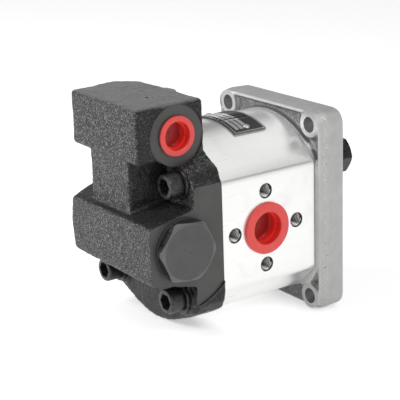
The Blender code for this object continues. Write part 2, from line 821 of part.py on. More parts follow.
def make_cover(material):
    """Cast cover: joint plate, valve block, neck, upper block and drillings."""
    cast_half_width = BODY_HALF_WIDTH + CAST_SIDE
    joint_edge = joint_outline(cast_half_width)
    sections = [
        (COVER_JOINT, joint_edge),
        (COVER_BACK + CAST_EDGE, joint_edge),
        (COVER_BACK + 0.3 * CAST_EDGE, joint_outline(cast_half_width, 0.3 * CAST_EDGE)),
        (COVER_BACK, joint_outline(cast_half_width, CAST_EDGE)),
    ]
    cover = add_object("rear_cover", loft("Y", sections), material)
    pads = [
        cylinder("Y", (x, z), LOWER_PAD_RADIUS, COVER_BACK + 2 * CAST_EDGE, screw_seat(z))
        for x, z in screw_places()
        if z < MIDDLE_Z
    ]
    join(cover, "screw_pads", *pads)
    join(cover, "valve_block", valve_block())
    join(cover, "neck", neck())
    join(cover, "upper_block", upper_block())
    lug = cylinder(
        "Z",
        (LUG_X, COVER_JOINT + LUG_OVERHANG - LUG_RADIUS),
        LUG_RADIUS,
        MIDDLE_Z + UPPER_TOP - LUG_HEIGHT,
        MIDDLE_Z + UPPER_TOP - UPPER_EDGE / 2,
    )
    join(cover, "lug", lug)
    delivery = (DELIVERY_Y, MIDDLE_Z + DELIVERY_HEIGHT)
    boss = cylinder("X", delivery, DELIVERY_BOSS_RADIUS, 0, UPPER_RIGHT, FINE)
    join(cover, "delivery_boss", boss)
    mill_cover(cover)
    drill_cover(cover, delivery)


def valve_block():
    """Lower cross block, drafted from its rear face down to the joint plate."""
    inside = COVER_BACK + PLATE_THICKNESS / 2
    length = inside - BLOCK_REAR
    rear = valve_block_outline(BLOCK_LEFT, BLOCK_LEFT_BULGE, 0, 0)
    middle = valve_block_outline(
        BLOCK_LEFT_MIDDLE,
        BLOCK_LEFT_BULGE / 2,
        length / 2 * BLOCK_DRAFT_BOTTOM,
        length / 2 * BLOCK_DRAFT_TOP,
    )
    front = valve_block_outline(
        -BODY_HALF_WIDTH + BLOCK_CORNER,
        0,
        length * BLOCK_DRAFT_BOTTOM,
        length * BLOCK_DRAFT_TOP,
    )
    sections = rounded_end(BLOCK_REAR, rear, BLOCK_EDGE, 1)
    return loft("Y", [(inside, front), (inside - length / 2, middle), *sections])


def neck():
    """Neck that carries the riser from the valve up to the delivery port."""
    inside = COVER_BACK + PLATE_THICKNESS / 2
    length = inside - NECK_REAR
    bottom = MIDDLE_Z
    top = MIDDLE_Z + (UPPER_BOTTOM + UPPER_TOP) / 2
    rear = rounded_rectangle(NECK_LEFT, NECK_RIGHT, bottom, top, NECK_CORNER, 2)
    right = NECK_RIGHT + length * NECK_RIGHT_DRAFT
    front = rounded_rectangle(NECK_LEFT, right, bottom, top, NECK_CORNER, 2)
    return loft("Y", [(inside, front), *rounded_end(NECK_REAR, rear, BLOCK_EDGE, 1)])


def upper_block():
    """Upper block, drawn from above: a chamfered corner at its front left."""
    front = COVER_JOINT - UPPER_FRONT_STEP
    left = UPPER_LEFT - UPPER_LEFT_SWELL
    plan = [
        (UPPER_RIGHT, UPPER_REAR),
        (UPPER_RIGHT, front),
        (left + UPPER_LEFT_CHAMFER, front),
        (left, front - UPPER_LEFT_CHAMFER),
        (UPPER_LEFT, UPPER_REAR),
    ]
    top = MIDDLE_Z + UPPER_TOP
    bottom = MIDDLE_Z + UPPER_BOTTOM
    block = prism("Z", plan, bottom, top)
    bmesh.ops.bevel(
        block,
        geom=block.edges[:],
        offset=UPPER_EDGE,
        segments=3,
        profile=0.5,
        affect="EDGES",
        clamp_overlap=True,
    )
    return block


def mill_cover(cover):
    """Milled right side around the valve plug, and the port's spot face."""
    beyond = MILLED_X + BLOCK_REAR_WALL
    sweep = cylinder("X", (VALVE_Y, MIDDLE_Z), MILL_RADIUS, MILLED_X, beyond, 2 * FINE)
    cut(cover, "side_milling", sweep)
    run = rounded_rectangle(
        VALVE_Y - MILL_RADIUS,
        COVER_JOINT + MILL_RADIUS / 2,
        MIDDLE_Z,
        MIDDLE_Z + MILL_TOP,
        BLOCK_EDGE,
        1,
    )
    cut(cover, "side_milling_run", prism("X", run, MILLED_X, beyond + GAP))
    delivery = (DELIVERY_Y, MIDDLE_Z + DELIVERY_HEIGHT)
    outside = UPPER_RIGHT + MILL_RADIUS
    relief = SPOT_FACE_X - SPOT_RELIEF_DEPTH
    profile = [
        (0, relief),
        (SPOT_RELIEF_RADIUS, relief),
        (SPOT_RELIEF_RADIUS, SPOT_FACE_X),
        (SPOT_FACE_RADIUS, SPOT_FACE_X),
        (SPOT_FACE_RADIUS, outside),
        (0, outside),
    ]
    cut(cover, "spot_face", turned("X", delivery, profile, FINE))


def drill_cover(cover, delivery):
    """Valve bore, delivery port, the drillings that link them, screw holes."""
    thread_end = SPOT_FACE_X - DELIVERY_THREAD_DEPTH
    port = [
        (0, DELIVERY_DRILL_REACH),
        (DRILL_RADIUS, DELIVERY_DRILL_REACH),
        (DRILL_RADIUS, thread_end - DRILL_RADIUS / 2),
        (DELIVERY_THREAD_RADIUS, thread_end),
        (DELIVERY_THREAD_RADIUS, SPOT_FACE_X + MILL_RADIUS),
        (0, SPOT_FACE_X + MILL_RADIUS),
    ]
    cut(cover, "delivery_port", turned("X", delivery, port))
    counterbore = MILLED_X - VALVE_THREAD_LENGTH
    valve = [
        (0, SPOOL_BORE_END),
        (SPOOL_RADIUS + RUNNING_GAP, SPOOL_BORE_END),
        (SPOOL_RADIUS + RUNNING_GAP, counterbore),
        (VALVE_THREAD_RADIUS + GAP, counterbore),
        (VALVE_THREAD_RADIUS + GAP, MILLED_X + MILL_RADIUS),
        (0, MILLED_X + MILL_RADIUS),
    ]
    cut(cover, "valve_bore", turned("X", (VALVE_Y, MIDDLE_Z), valve))
    riser_y = (VALVE_Y + DELIVERY_Y) / 2
    riser = cylinder("Z", (RISER_X, riser_y), DRILL_RADIUS, MIDDLE_Z, delivery[1], SMALL)
    cut(cover, "riser", riser)
    feed = cylinder(
        "Y",
        (DELIVERY_DRILL_X, MIDDLE_Z),
        DRILL_RADIUS,
        VALVE_Y,
        COVER_JOINT + DRILL_RADIUS,
        SMALL,
    )
    cut(cover, "feed", feed)
    cut_screw_holes(cover, BLOCK_REAR, COVER_JOINT + DRILL_RADIUS, SCREW_HOLE_RADIUS)
    cut(cover, "dowel_holes", *dowel_holes(COVER_JOINT, -DOWEL_LENGTH / 2 - GAP))


# Rotating group

def make_drive_gear(material):
    """Drive gear in one with its shaft: journals, seal land, taper and thread."""
    outline = gear_outline(DRIVE_Z, -math.pi / 2)
    gear = add_object("drive_gear", prism("Y", outline, GEAR_REAR, GEAR_FRONT), material)
    taper_end = TAPER_START + TAPER_LENGTH
    small = TAPER_LARGE_RADIUS - TAPER_LENGTH * TAPER_RATIO / 2
    shaft = [
        (0, COVER_JOINT + GAP),
        (JOURNAL_RADIUS - EDGE_BREAK, COVER_JOINT + GAP),
        (JOURNAL_RADIUS, COVER_JOINT + GAP + EDGE_BREAK),
        (JOURNAL_RADIUS, TAPER_START - EDGE_BREAK),
        (TAPER_LARGE_RADIUS, TAPER_START),
        (small, taper_end),
        (THREAD_RADIUS, taper_end),
        (THREAD_RADIUS, SHAFT_REACH - EDGE_BREAK),
        (THREAD_RADIUS - EDGE_BREAK, SHAFT_REACH),
        (0, SHAFT_REACH),
    ]
    join(gear, "shaft", turned("Y", (0, DRIVE_Z), shaft))
    slot = KEY_WIDTH / 2 + GAP
    key_y, disc_z, _ = key_place()
    keyway = cylinder("X", (key_y, disc_z), KEY_DISC_RADIUS + GAP, -slot, slot)
    cut(gear, "keyway", keyway)


def key_place():
    """Station of the key, centre height of its disc and height of its top."""
    key_y = TAPER_START + TAPER_LENGTH / 2
    surface = TAPER_LARGE_RADIUS - TAPER_LENGTH / 2 * TAPER_RATIO / 2
    top = DRIVE_Z + surface + KEY_STANDOUT
    return key_y, top + KEY_DISC_RADIUS - KEY_HEIGHT, top


def make_driven_gear(material):
    """Driven gear with a journal on each side; a tooth space faces the drive gear."""
    outline = gear_outline(DRIVEN_Z, math.pi / 2 + math.pi / TEETH)
    gear = add_object("driven_gear", prism("Y", outline, GEAR_REAR, GEAR_FRONT), material)
    rear = COVER_JOINT + GAP
    front = FLANGE_JOINT - GAP
    shaft = [
        (0, rear),
        (JOURNAL_RADIUS - EDGE_BREAK, rear),
        (JOURNAL_RADIUS, rear + EDGE_BREAK),
        (JOURNAL_RADIUS, front - EDGE_BREAK),
        (JOURNAL_RADIUS - EDGE_BREAK, front),
        (0, front),
    ]
    join(gear, "shaft", turned("Y", (0, DRIVEN_Z), shaft))


def make_key(material):
    """Woodruff key: a disc segment whose flat top stands out of the taper."""
    key_y, disc_z, top = key_place()
    half_chord = math.sqrt(KEY_DISC_RADIUS**2 - (disc_z - top) ** 2)
    start = math.atan2(top - disc_z, -half_chord)
    end = math.atan2(top - disc_z, half_chord)
    outline = arc((key_y, disc_z), KEY_DISC_RADIUS, start, end, SMALL // 2)
    add_object("drive_key", prism("X", outline, -KEY_WIDTH / 2, KEY_WIDTH / 2), material)


def make_washer_and_nut(washer_material, nut_material):
    """Lock washer against the taper's shoulder and the hexagon nut on it."""
    start = TAPER_START + TAPER_LENGTH + GAP
    end = start + LOCK_WASHER_THICKNESS
    centre = (0, DRIVE_Z)
    hole = THREAD_RADIUS + GAP
    washer = tube("Y", centre, hole, LOCK_WASHER_RADIUS, start, end)
    add_object("drive_washer", washer, washer_material)
    rear = end + GAP
    front = rear + NUT_HEIGHT
    corner = NUT_ACROSS_FLATS / 2 / math.cos(math.pi / 6) + GAP
    form, chamfer = hexagon_form("Y", centre, NUT_ACROSS_FLATS, 0, rear, front, True, corner)
    nut = add_object("drive_nut", form, nut_material)
    boolean(nut, "INTERSECT", "chamfer", [chamfer])
    cut(nut, "thread", cylinder("Y", centre, hole, rear - NUT_HEIGHT, front + NUT_HEIGHT))


# Bearings and seals

def make_bearing_block(name, outer_end, gear_end, material):
    """Bearing block of both shafts with the balance seal's groove behind it."""
    outline = figure_eight(BLOCK_RADIUS)
    block = add_object(name, prism("Y", outline, outer_end, gear_end), material)
    length = abs(gear_end - outer_end)
    middle = (outer_end + gear_end) / 2
    bores = [
        cylinder("Y", (0, z), BUSH_OUTER + GAP, middle - length, middle + length, SMALL)
        for z in (DRIVE_Z, DRIVEN_Z)
    ]
    cut(block, "bores", *bores)
    way = 1 if gear_end > outer_end else -1
    inner, outer = balance_seal_radii()
    groove = ring_prism(
        "Y",
        figure_eight(waist_radius(outer + GAP), TINY),
        figure_eight(waist_radius(inner - GAP), TINY),
        outer_end - way * BALANCE_GROOVE_DEPTH,
        outer_end + way * BALANCE_GROOVE_DEPTH,
    )
    cut(block, "balance_groove", groove)


def balance_seal_radii():
    """Half waists of the balance seal's inner and outer edge."""
    block_waist = math.sqrt(BLOCK_RADIUS**2 - HALF_CENTRES**2)
    return BALANCE_BRIDGE / 2 + GAP, block_waist - BALANCE_RIM_WALL - GAP


def body_seal_radii():
    """Inner and outer radius of the body seals about either shaft."""
    inner = CHAMBER_RADIUS + BODY_SEAL_WALL + GAP
    return inner, inner + BODY_SEAL_WIDTH


def make_bearings(block_material, bush_material):
    """Two bearing blocks and the four shaft bushes in them."""
    ends = {
        "front": (FLANGE_JOINT - GAP, GEAR_FRONT + RUNNING_GAP),
        "rear": (COVER_JOINT + GAP, GEAR_REAR - RUNNING_GAP),
    }
    for side, (outer_end, gear_end) in ends.items():
        make_bearing_block(f"bearing_block_{side}", outer_end, gear_end, block_material)
        low, high = sorted((outer_end, gear_end))
        for shaft, z in (("drive", DRIVE_Z), ("driven", DRIVEN_Z)):
            start = low + BUSH_RECESS
            end = high - BUSH_RECESS
            bush = tube("Y", (0, z), BUSH_INNER, BUSH_OUTER, start, end, SMALL)
            add_object(f"bush_{shaft}_{side}", bush, bush_material)


def make_inner_seals(material):
    """Balance seals behind the bearing blocks and body seals at the joints."""
    inner, outer = balance_seal_radii()
    seal_inner, seal_outer = body_seal_radii()
    joints = {"front": (FLANGE_JOINT - GAP, -1), "rear": (COVER_JOINT + GAP, 1)}
    for side, (face, way) in joints.items():
        balance = ring_prism(
            "Y",
            figure_eight(waist_radius(outer), TINY),
            figure_eight(waist_radius(inner), TINY),
            face,
            face + way * (BALANCE_GROOVE_DEPTH - GAP),
        )
        add_object(f"balance_seal_{side}", balance, material)
        ring = ring_prism(
            "Y",
            stadium(seal_outer),
            stadium(seal_inner),
            face,
            face + way * (BODY_SEAL_DEPTH - GAP),
        )
        add_object(f"body_seal_{side}", ring, material)


def snap_ring_rear():
    """Rear face of the snap ring, in front of the shaft seal."""
    return SEAL_FLOOR + GAP + SEAL_WIDTH + GAP


def make_shaft_seal(seal_material, ring_material):
    """Lip seal around the shaft, and the open snap ring that holds it."""
    start = SEAL_FLOOR + GAP
    end = start + SEAL_WIDTH
    lip = JOURNAL_RADIUS + RUNNING_GAP
    shell = SEAL_RADIUS - SEAL_SHELL
    profile = [
        (SEAL_RADIUS, start),
        (SEAL_RADIUS, end),
        (lip + SEAL_SHELL, end),
        (lip, end - SEAL_SHELL / 2),
        (lip, start + SEAL_WIDTH / 2),
        (lip + SEAL_SHELL / 2, start + SEAL_WIDTH / 2),
        (lip + SEAL_SHELL, end - SEAL_SHELL),
        (shell, end - SEAL_SHELL),
        (shell, start),
    ]
    seal = turned("Y", (0, DRIVE_Z), profile, SMALL, closed=True)
    add_object("shaft_seal", seal, seal_material)
    ring_outer = SEAL_RADIUS + SNAP_GROOVE_DEPTH
    half_gap = SNAP_RING_OPENING / 2
    outer = arc((0, DRIVE_Z), ring_outer, half_gap, math.tau - half_gap, SMALL)
    inner = arc((0, DRIVE_Z), ring_outer - SNAP_RING_WIDTH, math.tau - half_gap, half_gap, SMALL)
    rear = snap_ring_rear()
    ring = prism("Y", outer + inner, rear, rear + SNAP_RING_THICKNESS)
    add_object("snap_ring", ring, ring_material)


# Fasteners

def make_cap_screws(screw_material, washer_material):
    """Four long socket head screws and the washers under their heads."""
    names = ("upper_right", "upper_left", "lower_right", "lower_left")
    for name, (x, z) in zip(names, screw_places()):
        seat = screw_seat(z) - GAP
        hole = SCREW_RADIUS + GAP
        washer = tube("Y", (x, z), hole, WASHER_RADIUS, seat - WASHER_THICKNESS, seat, SMALL)
        add_object(f"screw_washer_{name}", washer, washer_material)
        under_head = seat - WASHER_THICKNESS - GAP
        top = under_head - HEAD_HEIGHT
        tip = under_head + SCREW_LENGTH
        profile = [
            (0, top),
            (HEAD_RADIUS - EDGE_BREAK / 2, top),
            (HEAD_RADIUS, top + EDGE_BREAK / 2),
            (HEAD_RADIUS, under_head),
            (SCREW_RADIUS, under_head),
            (SCREW_RADIUS, tip - EDGE_BREAK),
            (SCREW_RADIUS - EDGE_BREAK, tip),
            (0, tip),
        ]
        screw = add_object(f"cap_screw_{name}", turned("Y", (x, z), profile, SMALL), screw_material)
        socket = hexagon((x, z), SOCKET_ACROSS_FLATS, 0)
        cut(screw, "socket", prism("Y", socket, top - SOCKET_DEPTH, top + SOCKET_DEPTH))


def make_dowels(material):
    """Dowels that line up body with flange and cover with body."""
    for joint, station in (
        ("front", (FLANGE_JOINT + BODY_FRONT) / 2),
        ("rear", (BODY_REAR + COVER_JOINT) / 2),
    ):
        for side, place_xz in zip(("right", "left"), dowel_places()):
            start = station - DOWEL_LENGTH / 2
            end = station + DOWEL_LENGTH / 2
            profile = [
                (0, start),
                (DOWEL_RADIUS - EDGE_BREAK, start),
                (DOWEL_RADIUS, start + EDGE_BREAK),
                (DOWEL_RADIUS, end - EDGE_BREAK),
                (DOWEL_RADIUS - EDGE_BREAK, end),
                (0, end),
            ]
            add_object(f"dowel_{joint}_{side}", turned("Y", place_xz, profile, TINY), material)


# Valve

def make_valve(spool_material, plug_material, ring_material):
    """Spool, its spring, and the hexagon plug with its ring."""
    centre = (VALVE_Y, MIDDLE_Z)
    plug_end = MILLED_X - VALVE_THREAD_LENGTH + GAP
    right = plug_end - GAP
    left = right - SPOOL_LENGTH
    groove = (SPOOL_LENGTH - 3 * SPOOL_LAND) / 2
    profile = [
        (0, left - SPOOL_GUIDE_LENGTH),
        (SPOOL_GUIDE_RADIUS, left - SPOOL_GUIDE_LENGTH),
        (SPOOL_GUIDE_RADIUS, left),
    ]
    for i in range(3):
        start = left + i * (SPOOL_LAND + groove)
        if i:
            profile.append((SPOOL_GROOVE_RADIUS, start))
        profile += [(SPOOL_RADIUS, start), (SPOOL_RADIUS, start + SPOOL_LAND)]
        if i < 2:
            profile.append((SPOOL_GROOVE_RADIUS, start + SPOOL_LAND))
    profile.append((0, right))
    add_object("priority_spool", turned("X", centre, profile, SMALL), spool_material)
    make_spring(centre, SPOOL_BORE_END + GAP, left - GAP, spool_material)
    ring_start = MILLED_X + GAP
    ring_end = ring_start + VALVE_RING_THICKNESS
    ring = tube("X", centre, VALVE_THREAD_RADIUS + GAP, VALVE_RING_RADIUS, ring_start, ring_end)
    add_object("valve_plug_ring", ring, ring_material)
    head = ring_end + GAP
    end = head + VALVE_HEX_HEIGHT
    form, chamfer = hexagon_form(
        "X", centre, VALVE_HEX, VALVE_HEX_TURN, head, end, False, VALVE_BAR_RADIUS
    )
    plug = add_object("valve_plug", form, plug_material)
    boolean(plug, "INTERSECT", "chamfer", [chamfer])
    thread = [
        (0, plug_end),
        (VALVE_THREAD_RADIUS - EDGE_BREAK, plug_end),
        (VALVE_THREAD_RADIUS, plug_end + EDGE_BREAK),
        (VALVE_THREAD_RADIUS, (head + end) / 2),
        (0, (head + end) / 2),
    ]
    join(plug, "thread", turned("X", centre, thread))


def make_spring(centre, start, end, material):
    """Coil spring as a swept wire between the bore's floor and the spool."""
    steps = SPRING_TURNS * TINY
    low = start + SPRING_WIRE_RADIUS
    high = end - SPRING_WIRE_RADIUS
    wire = circle((SPRING_COIL_RADIUS, 0), SPRING_WIRE_RADIUS, SPRING_WIRE_SIDES)
    bm = bmesh.new()
    loops = []
    for i in range(steps + 1):
        angle = math.tau * i / TINY
        x = low + (high - low) * i / steps
        loops.append(
            [
                bm.verts.new(
                    (
                        x + across,
                        centre[0] + radius * math.cos(angle),
                        centre[1] + radius * math.sin(angle),
                    )
                )
                for radius, across in wire
            ]
        )
    for near, far in zip(loops, loops[1:]):
        add_wall(bm, near, far)
    bm.faces.new(loops[0])
    bm.faces.new(loops[-1])
    bmesh.ops.recalc_face_normals(bm, faces=bm.faces)
    add_object("spool_spring", bm, material)


# Transport plugs and name plate

def make_transport_plug(name, centre, face, bore, lip_radius, wall, depth, material):
    """Hollow plastic plug: a lip on the port face and a stepped cup in the bore."""
    lip = face + GAP
    outside = lip + PLUG_LIP_THICKNESS
    outer = bore - GAP
    mouth = outer - wall
    floor = outside - depth
    profile = [
        (0, floor - PLUG_FLOOR),
        (outer - PLUG_FLOOR / 2, floor - PLUG_FLOOR),
        (outer, floor - PLUG_FLOOR / 2),
        (outer, lip),
        (lip_radius, lip),
        (lip_radius, outside - PLUG_LIP_THICKNESS / 4),
        (lip_radius - PLUG_LIP_THICKNESS / 4, outside),
        (mouth, outside),
        (mouth, outside - depth / 2),
        (mouth - PLUG_STEP, outside - depth / 2),
        (mouth - PLUG_STEP, floor),
        (0, floor),
    ]
    add_object(name, turned("X", centre, profile), material)


def make_plugs(material):
    """Plugs of the suction and the delivery port."""
    make_transport_plug(
        "suction_plug",
        (PORT_Y, MIDDLE_Z),
        BODY_HALF_WIDTH,
        SUCTION_RADIUS,
        SUCTION_LIP_RADIUS,
        SUCTION_CUP_WALL,
        SUCTION_CUP_DEPTH,
        material,
    )
    make_transport_plug(
        "delivery_plug",
        (DELIVERY_Y, MIDDLE_Z + DELIVERY_HEIGHT),
        SPOT_FACE_X,
        DELIVERY_THREAD_RADIUS,
        DELIVERY_LIP_RADIUS,
        DELIVERY_CUP_WALL,
        DELIVERY_CUP_DEPTH,
        material,
    )


def make_name_plate(plate_material, pin_material):
    """Blank plate bent over the body's top, and the two pins that hold it."""
    inside = BODY_RADIUS + GAP
    outside = inside + PLATE_THICKNESS_TOP
    start = math.pi / 2 - PLATE_HALF_ANGLE
    end = math.pi / 2 + PLATE_HALF_ANGLE
    outline = arc((0, MIDDLE_Z), outside, start, end, TINY)
    outline += arc((0, MIDDLE_Z), inside, end, start, TINY)
    front = PLATE_CENTRE_Y + PLATE_DEPTH_Y / 2
    rear = PLATE_CENTRE_Y - PLATE_DEPTH_Y / 2
    head = outside + GAP
    plate = add_object("name_plate", prism("Y", outline, front, rear), plate_material)
    cut(plate, "pin_holes", *plate_pin_holes(inside - 2 * GAP, head))
    profile = [
        (0, BODY_RADIUS - PIN_LENGTH),
        (PIN_RADIUS, BODY_RADIUS - PIN_LENGTH),
        (PIN_RADIUS, head),
        (PIN_HEAD_RADIUS, head),
        (PIN_HEAD_RADIUS * 0.8, head + PIN_HEAD_HEIGHT * 0.7),
        (0, head + PIN_HEAD_HEIGHT),
    ]
    for side, name in ((1, "right"), (-1, "left")):
        form = turned("Z", (0, PLATE_CENTRE_Y), profile, SMALL)
        pin = add_object(f"plate_pin_{name}", form, pin_material)
        pin.matrix_world = over_top(side * PLATE_PIN_ANGLE)


def clear_scene():
    """Empty the scene of whatever it held."""
    for piece in list(bpy.data.objects):
        bpy.data.objects.remove(piece, do_unlink=True)


def main():
    """Build the whole pump."""
    clear_scene()
    body_alloy = finish("body_alloy", (0.80, 0.80, 0.79), 0.32, 0.75)
    flange_alloy = finish("flange_alloy", (0.62, 0.63, 0.64), 0.5, 0.6)
    black_casting = finish("black_casting", (0.035, 0.035, 0.037), 0.55, 0.0)
    black_steel = finish("black_steel", (0.04, 0.04, 0.045), 0.4, 0.6)
    bright_steel = finish("bright_steel", (0.55, 0.55, 0.56), 0.3, 1.0)
    bearing_bronze = finish("bearing_bronze", (0.45, 0.35, 0.22), 0.4, 0.9)
    bearing_alloy = finish("bearing_alloy", (0.6, 0.6, 0.6), 0.4, 0.8)
    black_rubber = finish("black_rubber", (0.02, 0.02, 0.02), 0.7, 0.0)
    red_plastic = finish("red_plastic", (0.75, 0.05, 0.03), 0.35, 0.0)
    plate_foil = finish("plate_foil", (0.5, 0.5, 0.5), 0.4, 0.6)
    make_flange(flange_alloy)
    make_body(body_alloy)
    make_cover(black_casting)
    make_drive_gear(bright_steel)
    make_driven_gear(bright_steel)
    make_key(bright_steel)
    make_washer_and_nut(black_steel, black_steel)
    make_bearings(bearing_alloy, bearing_bronze)
    make_inner_seals(black_rubber)
    make_shaft_seal(black_rubber, black_steel)
    make_cap_screws(black_steel, black_steel)
    make_dowels(bright_steel)
    make_valve(bright_steel, black_steel, black_rubber)
    make_plugs(red_plastic)
    make_name_plate(plate_foil, bright_steel)


main()
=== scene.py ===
"""Looks of an external gear pump with a flow valve in its cast rear cover.

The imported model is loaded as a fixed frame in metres, which gives the places
and the main sizes. The cover and the flange are made as in the foundry: a
rough blank first, which is then faced and bored. The other outer pieces are
turned, extruded or moulded, and the inner ones keep the model's own shapes.
"""

import math

import bmesh
import bpy
from bpy.props import (
    FloatProperty,
    FloatVectorProperty,
    IntProperty,
    PointerProperty,
)
from bpy.types import Operator, Panel, PropertyGroup
from mathutils import Matrix, Vector


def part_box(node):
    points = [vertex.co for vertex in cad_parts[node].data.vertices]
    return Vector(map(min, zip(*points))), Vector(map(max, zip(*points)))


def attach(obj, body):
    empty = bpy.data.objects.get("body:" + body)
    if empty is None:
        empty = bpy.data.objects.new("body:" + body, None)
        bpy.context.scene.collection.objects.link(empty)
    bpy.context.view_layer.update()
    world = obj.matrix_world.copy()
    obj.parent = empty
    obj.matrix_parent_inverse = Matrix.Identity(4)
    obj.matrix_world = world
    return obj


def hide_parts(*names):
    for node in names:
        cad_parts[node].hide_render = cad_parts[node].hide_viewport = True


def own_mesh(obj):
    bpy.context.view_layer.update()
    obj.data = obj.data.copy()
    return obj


bl_info = {
    "name": "Gear pump looks",
    "version": (1, 0, 0),
    "blender": (4, 5, 0),
    "location": "3D View > Sidebar > Gear pump",
    "description": "Dresses a gear pump in cast, machined, oxidised and moulded finishes",
    "category": "Object",
}

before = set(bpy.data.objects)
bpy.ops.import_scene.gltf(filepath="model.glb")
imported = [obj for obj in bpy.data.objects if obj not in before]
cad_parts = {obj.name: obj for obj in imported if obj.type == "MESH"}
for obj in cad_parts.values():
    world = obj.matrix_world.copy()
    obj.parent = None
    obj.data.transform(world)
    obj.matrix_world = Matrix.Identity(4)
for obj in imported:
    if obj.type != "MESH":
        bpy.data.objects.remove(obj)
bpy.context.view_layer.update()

MM = 0.001
GAP = 0.3 * MM
FLATNESS = 0.02 * MM
AXES = {"X": Vector((1, 0, 0)), "Y": Vector((0, 1, 0)), "Z": Vector((0, 0, 1))}
CORNERS = ("upper_right", "upper_left", "lower_right", "lower_left")


# Places taken from the frame

def middle(node):
    """Centre of a node's box."""
    low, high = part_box(node)
    return (Vector(low) + Vector(high)) / 2


def reach(node):
    """Extent of a node's box."""
    low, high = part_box(node)
    return Vector(high) - Vector(low)


BODY_LOW, BODY_HIGH = (Vector(corner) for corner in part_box("pump_body"))
BODY_RADIUS = (BODY_HIGH.z - BODY_LOW.z) / 2
MIDDLE_Z = (BODY_HIGH.z + BODY_LOW.z) / 2
SIDE_X = BODY_HIGH.x
JOINT_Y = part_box("rear_cover")[1][1]
MILLED_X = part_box("valve_plug_ring")[0][0] - GAP
VALVE_AXIS = middle("valve_plug_ring")
SUCTION_AXIS = middle("suction_plug")
DELIVERY_AXIS = middle("delivery_plug")
PORT_LIP = 1.4 * MM
SPOT_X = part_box("delivery_plug")[1][0] - PORT_LIP - GAP
FLANGE_LOW, FLANGE_HIGH = (Vector(corner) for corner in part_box("front_flange"))


# Settings

def length(name, text, value):
    """Length property in metres."""
    return FloatProperty(name=name, description=text, default=value, unit="LENGTH", precision=5)


def colour(name, text, value):
    """Linear colour property."""
    return FloatVectorProperty(
        name=name, description=text, default=value, size=3, min=0, max=1, subtype="COLOR"
    )


class CastingLooks(PropertyGroup):
    """Painted sand casting of the rear cover."""

    voxel: length("Voxel", "Grid on which the rough blank is formed", 0.8 * MM)
    softness: IntProperty(name="Softness", description="Smoothing passes on cast edges", default=4)
    lump_size: length("Lump size", "Width of the casting's low swellings", 9 * MM)
    lump_height: length("Lump height", "Height of the low swellings", 0.35 * MM)
    sand_size: length("Sand size", "Width of the coarse sand print", 1.7 * MM)
    sand_height: length("Sand height", "Height of the coarse sand print", 0.2 * MM)
    grain: length("Grain", "Width of the fine sand grain under the paint", 0.82 * MM)
    paint: colour("Paint", "Black paint on the casting", (0.014, 0.0138, 0.0136))
    crest: colour("Crests", "Paint on the grain's crests", (0.26, 0.258, 0.254))
    # Painted shade: darker paint for right sides, the lower hollow and the ledge, where the paint also ran
    # smooth.
    thick_shaded: colour("Thick shaded paint", "Paint that ran together, darker as painted shade", (0.009, 0.0088, 0.0084))
    # Painted light: a lighter paint on the top faces, where light from above falls.
    rubbed: colour("Rubbed and lit paint", "Satin paint on the top, lighter as painted light", (0.17, 0.169, 0.168))
    milled: colour("Milled", "Painted milled faces", (0.072, 0.071, 0.069))


class AlloyLooks(PropertyGroup):
    """Extruded body and die-cast flange."""

    body: colour("Body", "Bright extruded body", (0.93, 0.93, 0.92))
    flange: colour("Flange", "Blasted die-cast flange", (0.54, 0.54, 0.535))
    # Painted shade: darker colour for the flange's recess, the pads' outer sides and its top faces.
    hollow: colour("Painted shade", "Painted shade on the flange's recess and top", (0.12, 0.12, 0.122))
    # Painted shade: a darker copy of the machined colour for the rear-facing spot faces.
    shaded_spot_faces: colour("Shaded spot faces", "Shaded spot faces of the mounting holes", (0.44, 0.44, 0.445))
    machined: colour("Machined", "Faced surfaces of the flange", (0.68, 0.68, 0.675))
    bored: colour("Bored", "Shaded walls of the body's bores", (0.20, 0.19, 0.18))
    # Painted shade: the mounting holes' walls are darker than the machined faces.
    drilled: colour("Drilled", "Walls of the mounting holes", (0.50, 0.50, 0.50))
    root: colour("Thread roots", "Shaded roots of the port threads", (0.012, 0.011, 0.010))
    voxel: length("Voxel", "Grid on which the flange's blank is formed", 0.75 * MM)
    softness: IntProperty(name="Softness", description="Smoothing passes on die-cast edges", default=5)
    ripple: length("Ripple", "Height of the die's surface ripple", 0.06 * MM)


class SteelLooks(PropertyGroup):
    """Steel pieces, and the bearings that the shafts run in."""

    oxide: colour("Black oxide", "Screws, nut and the sides of the hexagon", (0.036, 0.036, 0.0375))
    phosphate: colour("Phosphate", "Face of the valve plug", (0.080, 0.080, 0.0805))
    ground: colour("Ground steel", "Shaft, gears and spool", (0.56, 0.55, 0.54))
    bearing: colour("Bearing alloy", "Bearing blocks", (0.58, 0.58, 0.58))
    bronze: colour("Bronze", "Bushes of the shafts", (0.46, 0.33, 0.19))
    knurls: IntProperty(name="Knurls", description="Ridges round a screw head", default=44, min=12)
    thread_pitch: length("Pitch", "Thread pitch of the port threads", 1.25 * MM)


class PlasticLooks(PropertyGroup):
    """Transport plugs and rubber parts."""

    red: colour("Red", "Lips of the moulded transport plugs", (1.0, 0.098, 0.086))
    # Painted shade: the cups' walls and thin floors take darker reds than the lip, deepest over the dark
    # ports.
    shaded_cup_red: colour("Shaded cup red", "Walls of the cups", (0.98, 0.044, 0.034))
    shaded_floor_red: colour("Shaded floor red", "Thin floors over the dark ports", (0.38, 0.010, 0.009))
    rubber: colour("Rubber", "Seals", (0.018, 0.018, 0.019))


class PlateLooks(PropertyGroup):
    """Blank name plate."""

    ink: colour("Ink", "Printed field", (0.105, 0.108, 0.112))
    foil: colour("Foil", "Bare foil of the border and blank fields", (0.86, 0.86, 0.85))
    border: length("Border", "Width of the bare border line", 0.55 * MM)
    rows: FloatVectorProperty(
        name="Rows", description="Places of the blank fields across the plate", size=3,
        unit="LENGTH", default=(-6.3 * MM, -3.2 * MM, -0.1 * MM),
    )
    row_width: length("Row width", "Width of a blank field", 2.3 * MM)
    row_end: length("Row end", "Plain strip at the ends of the blank fields", 3.0 * MM)


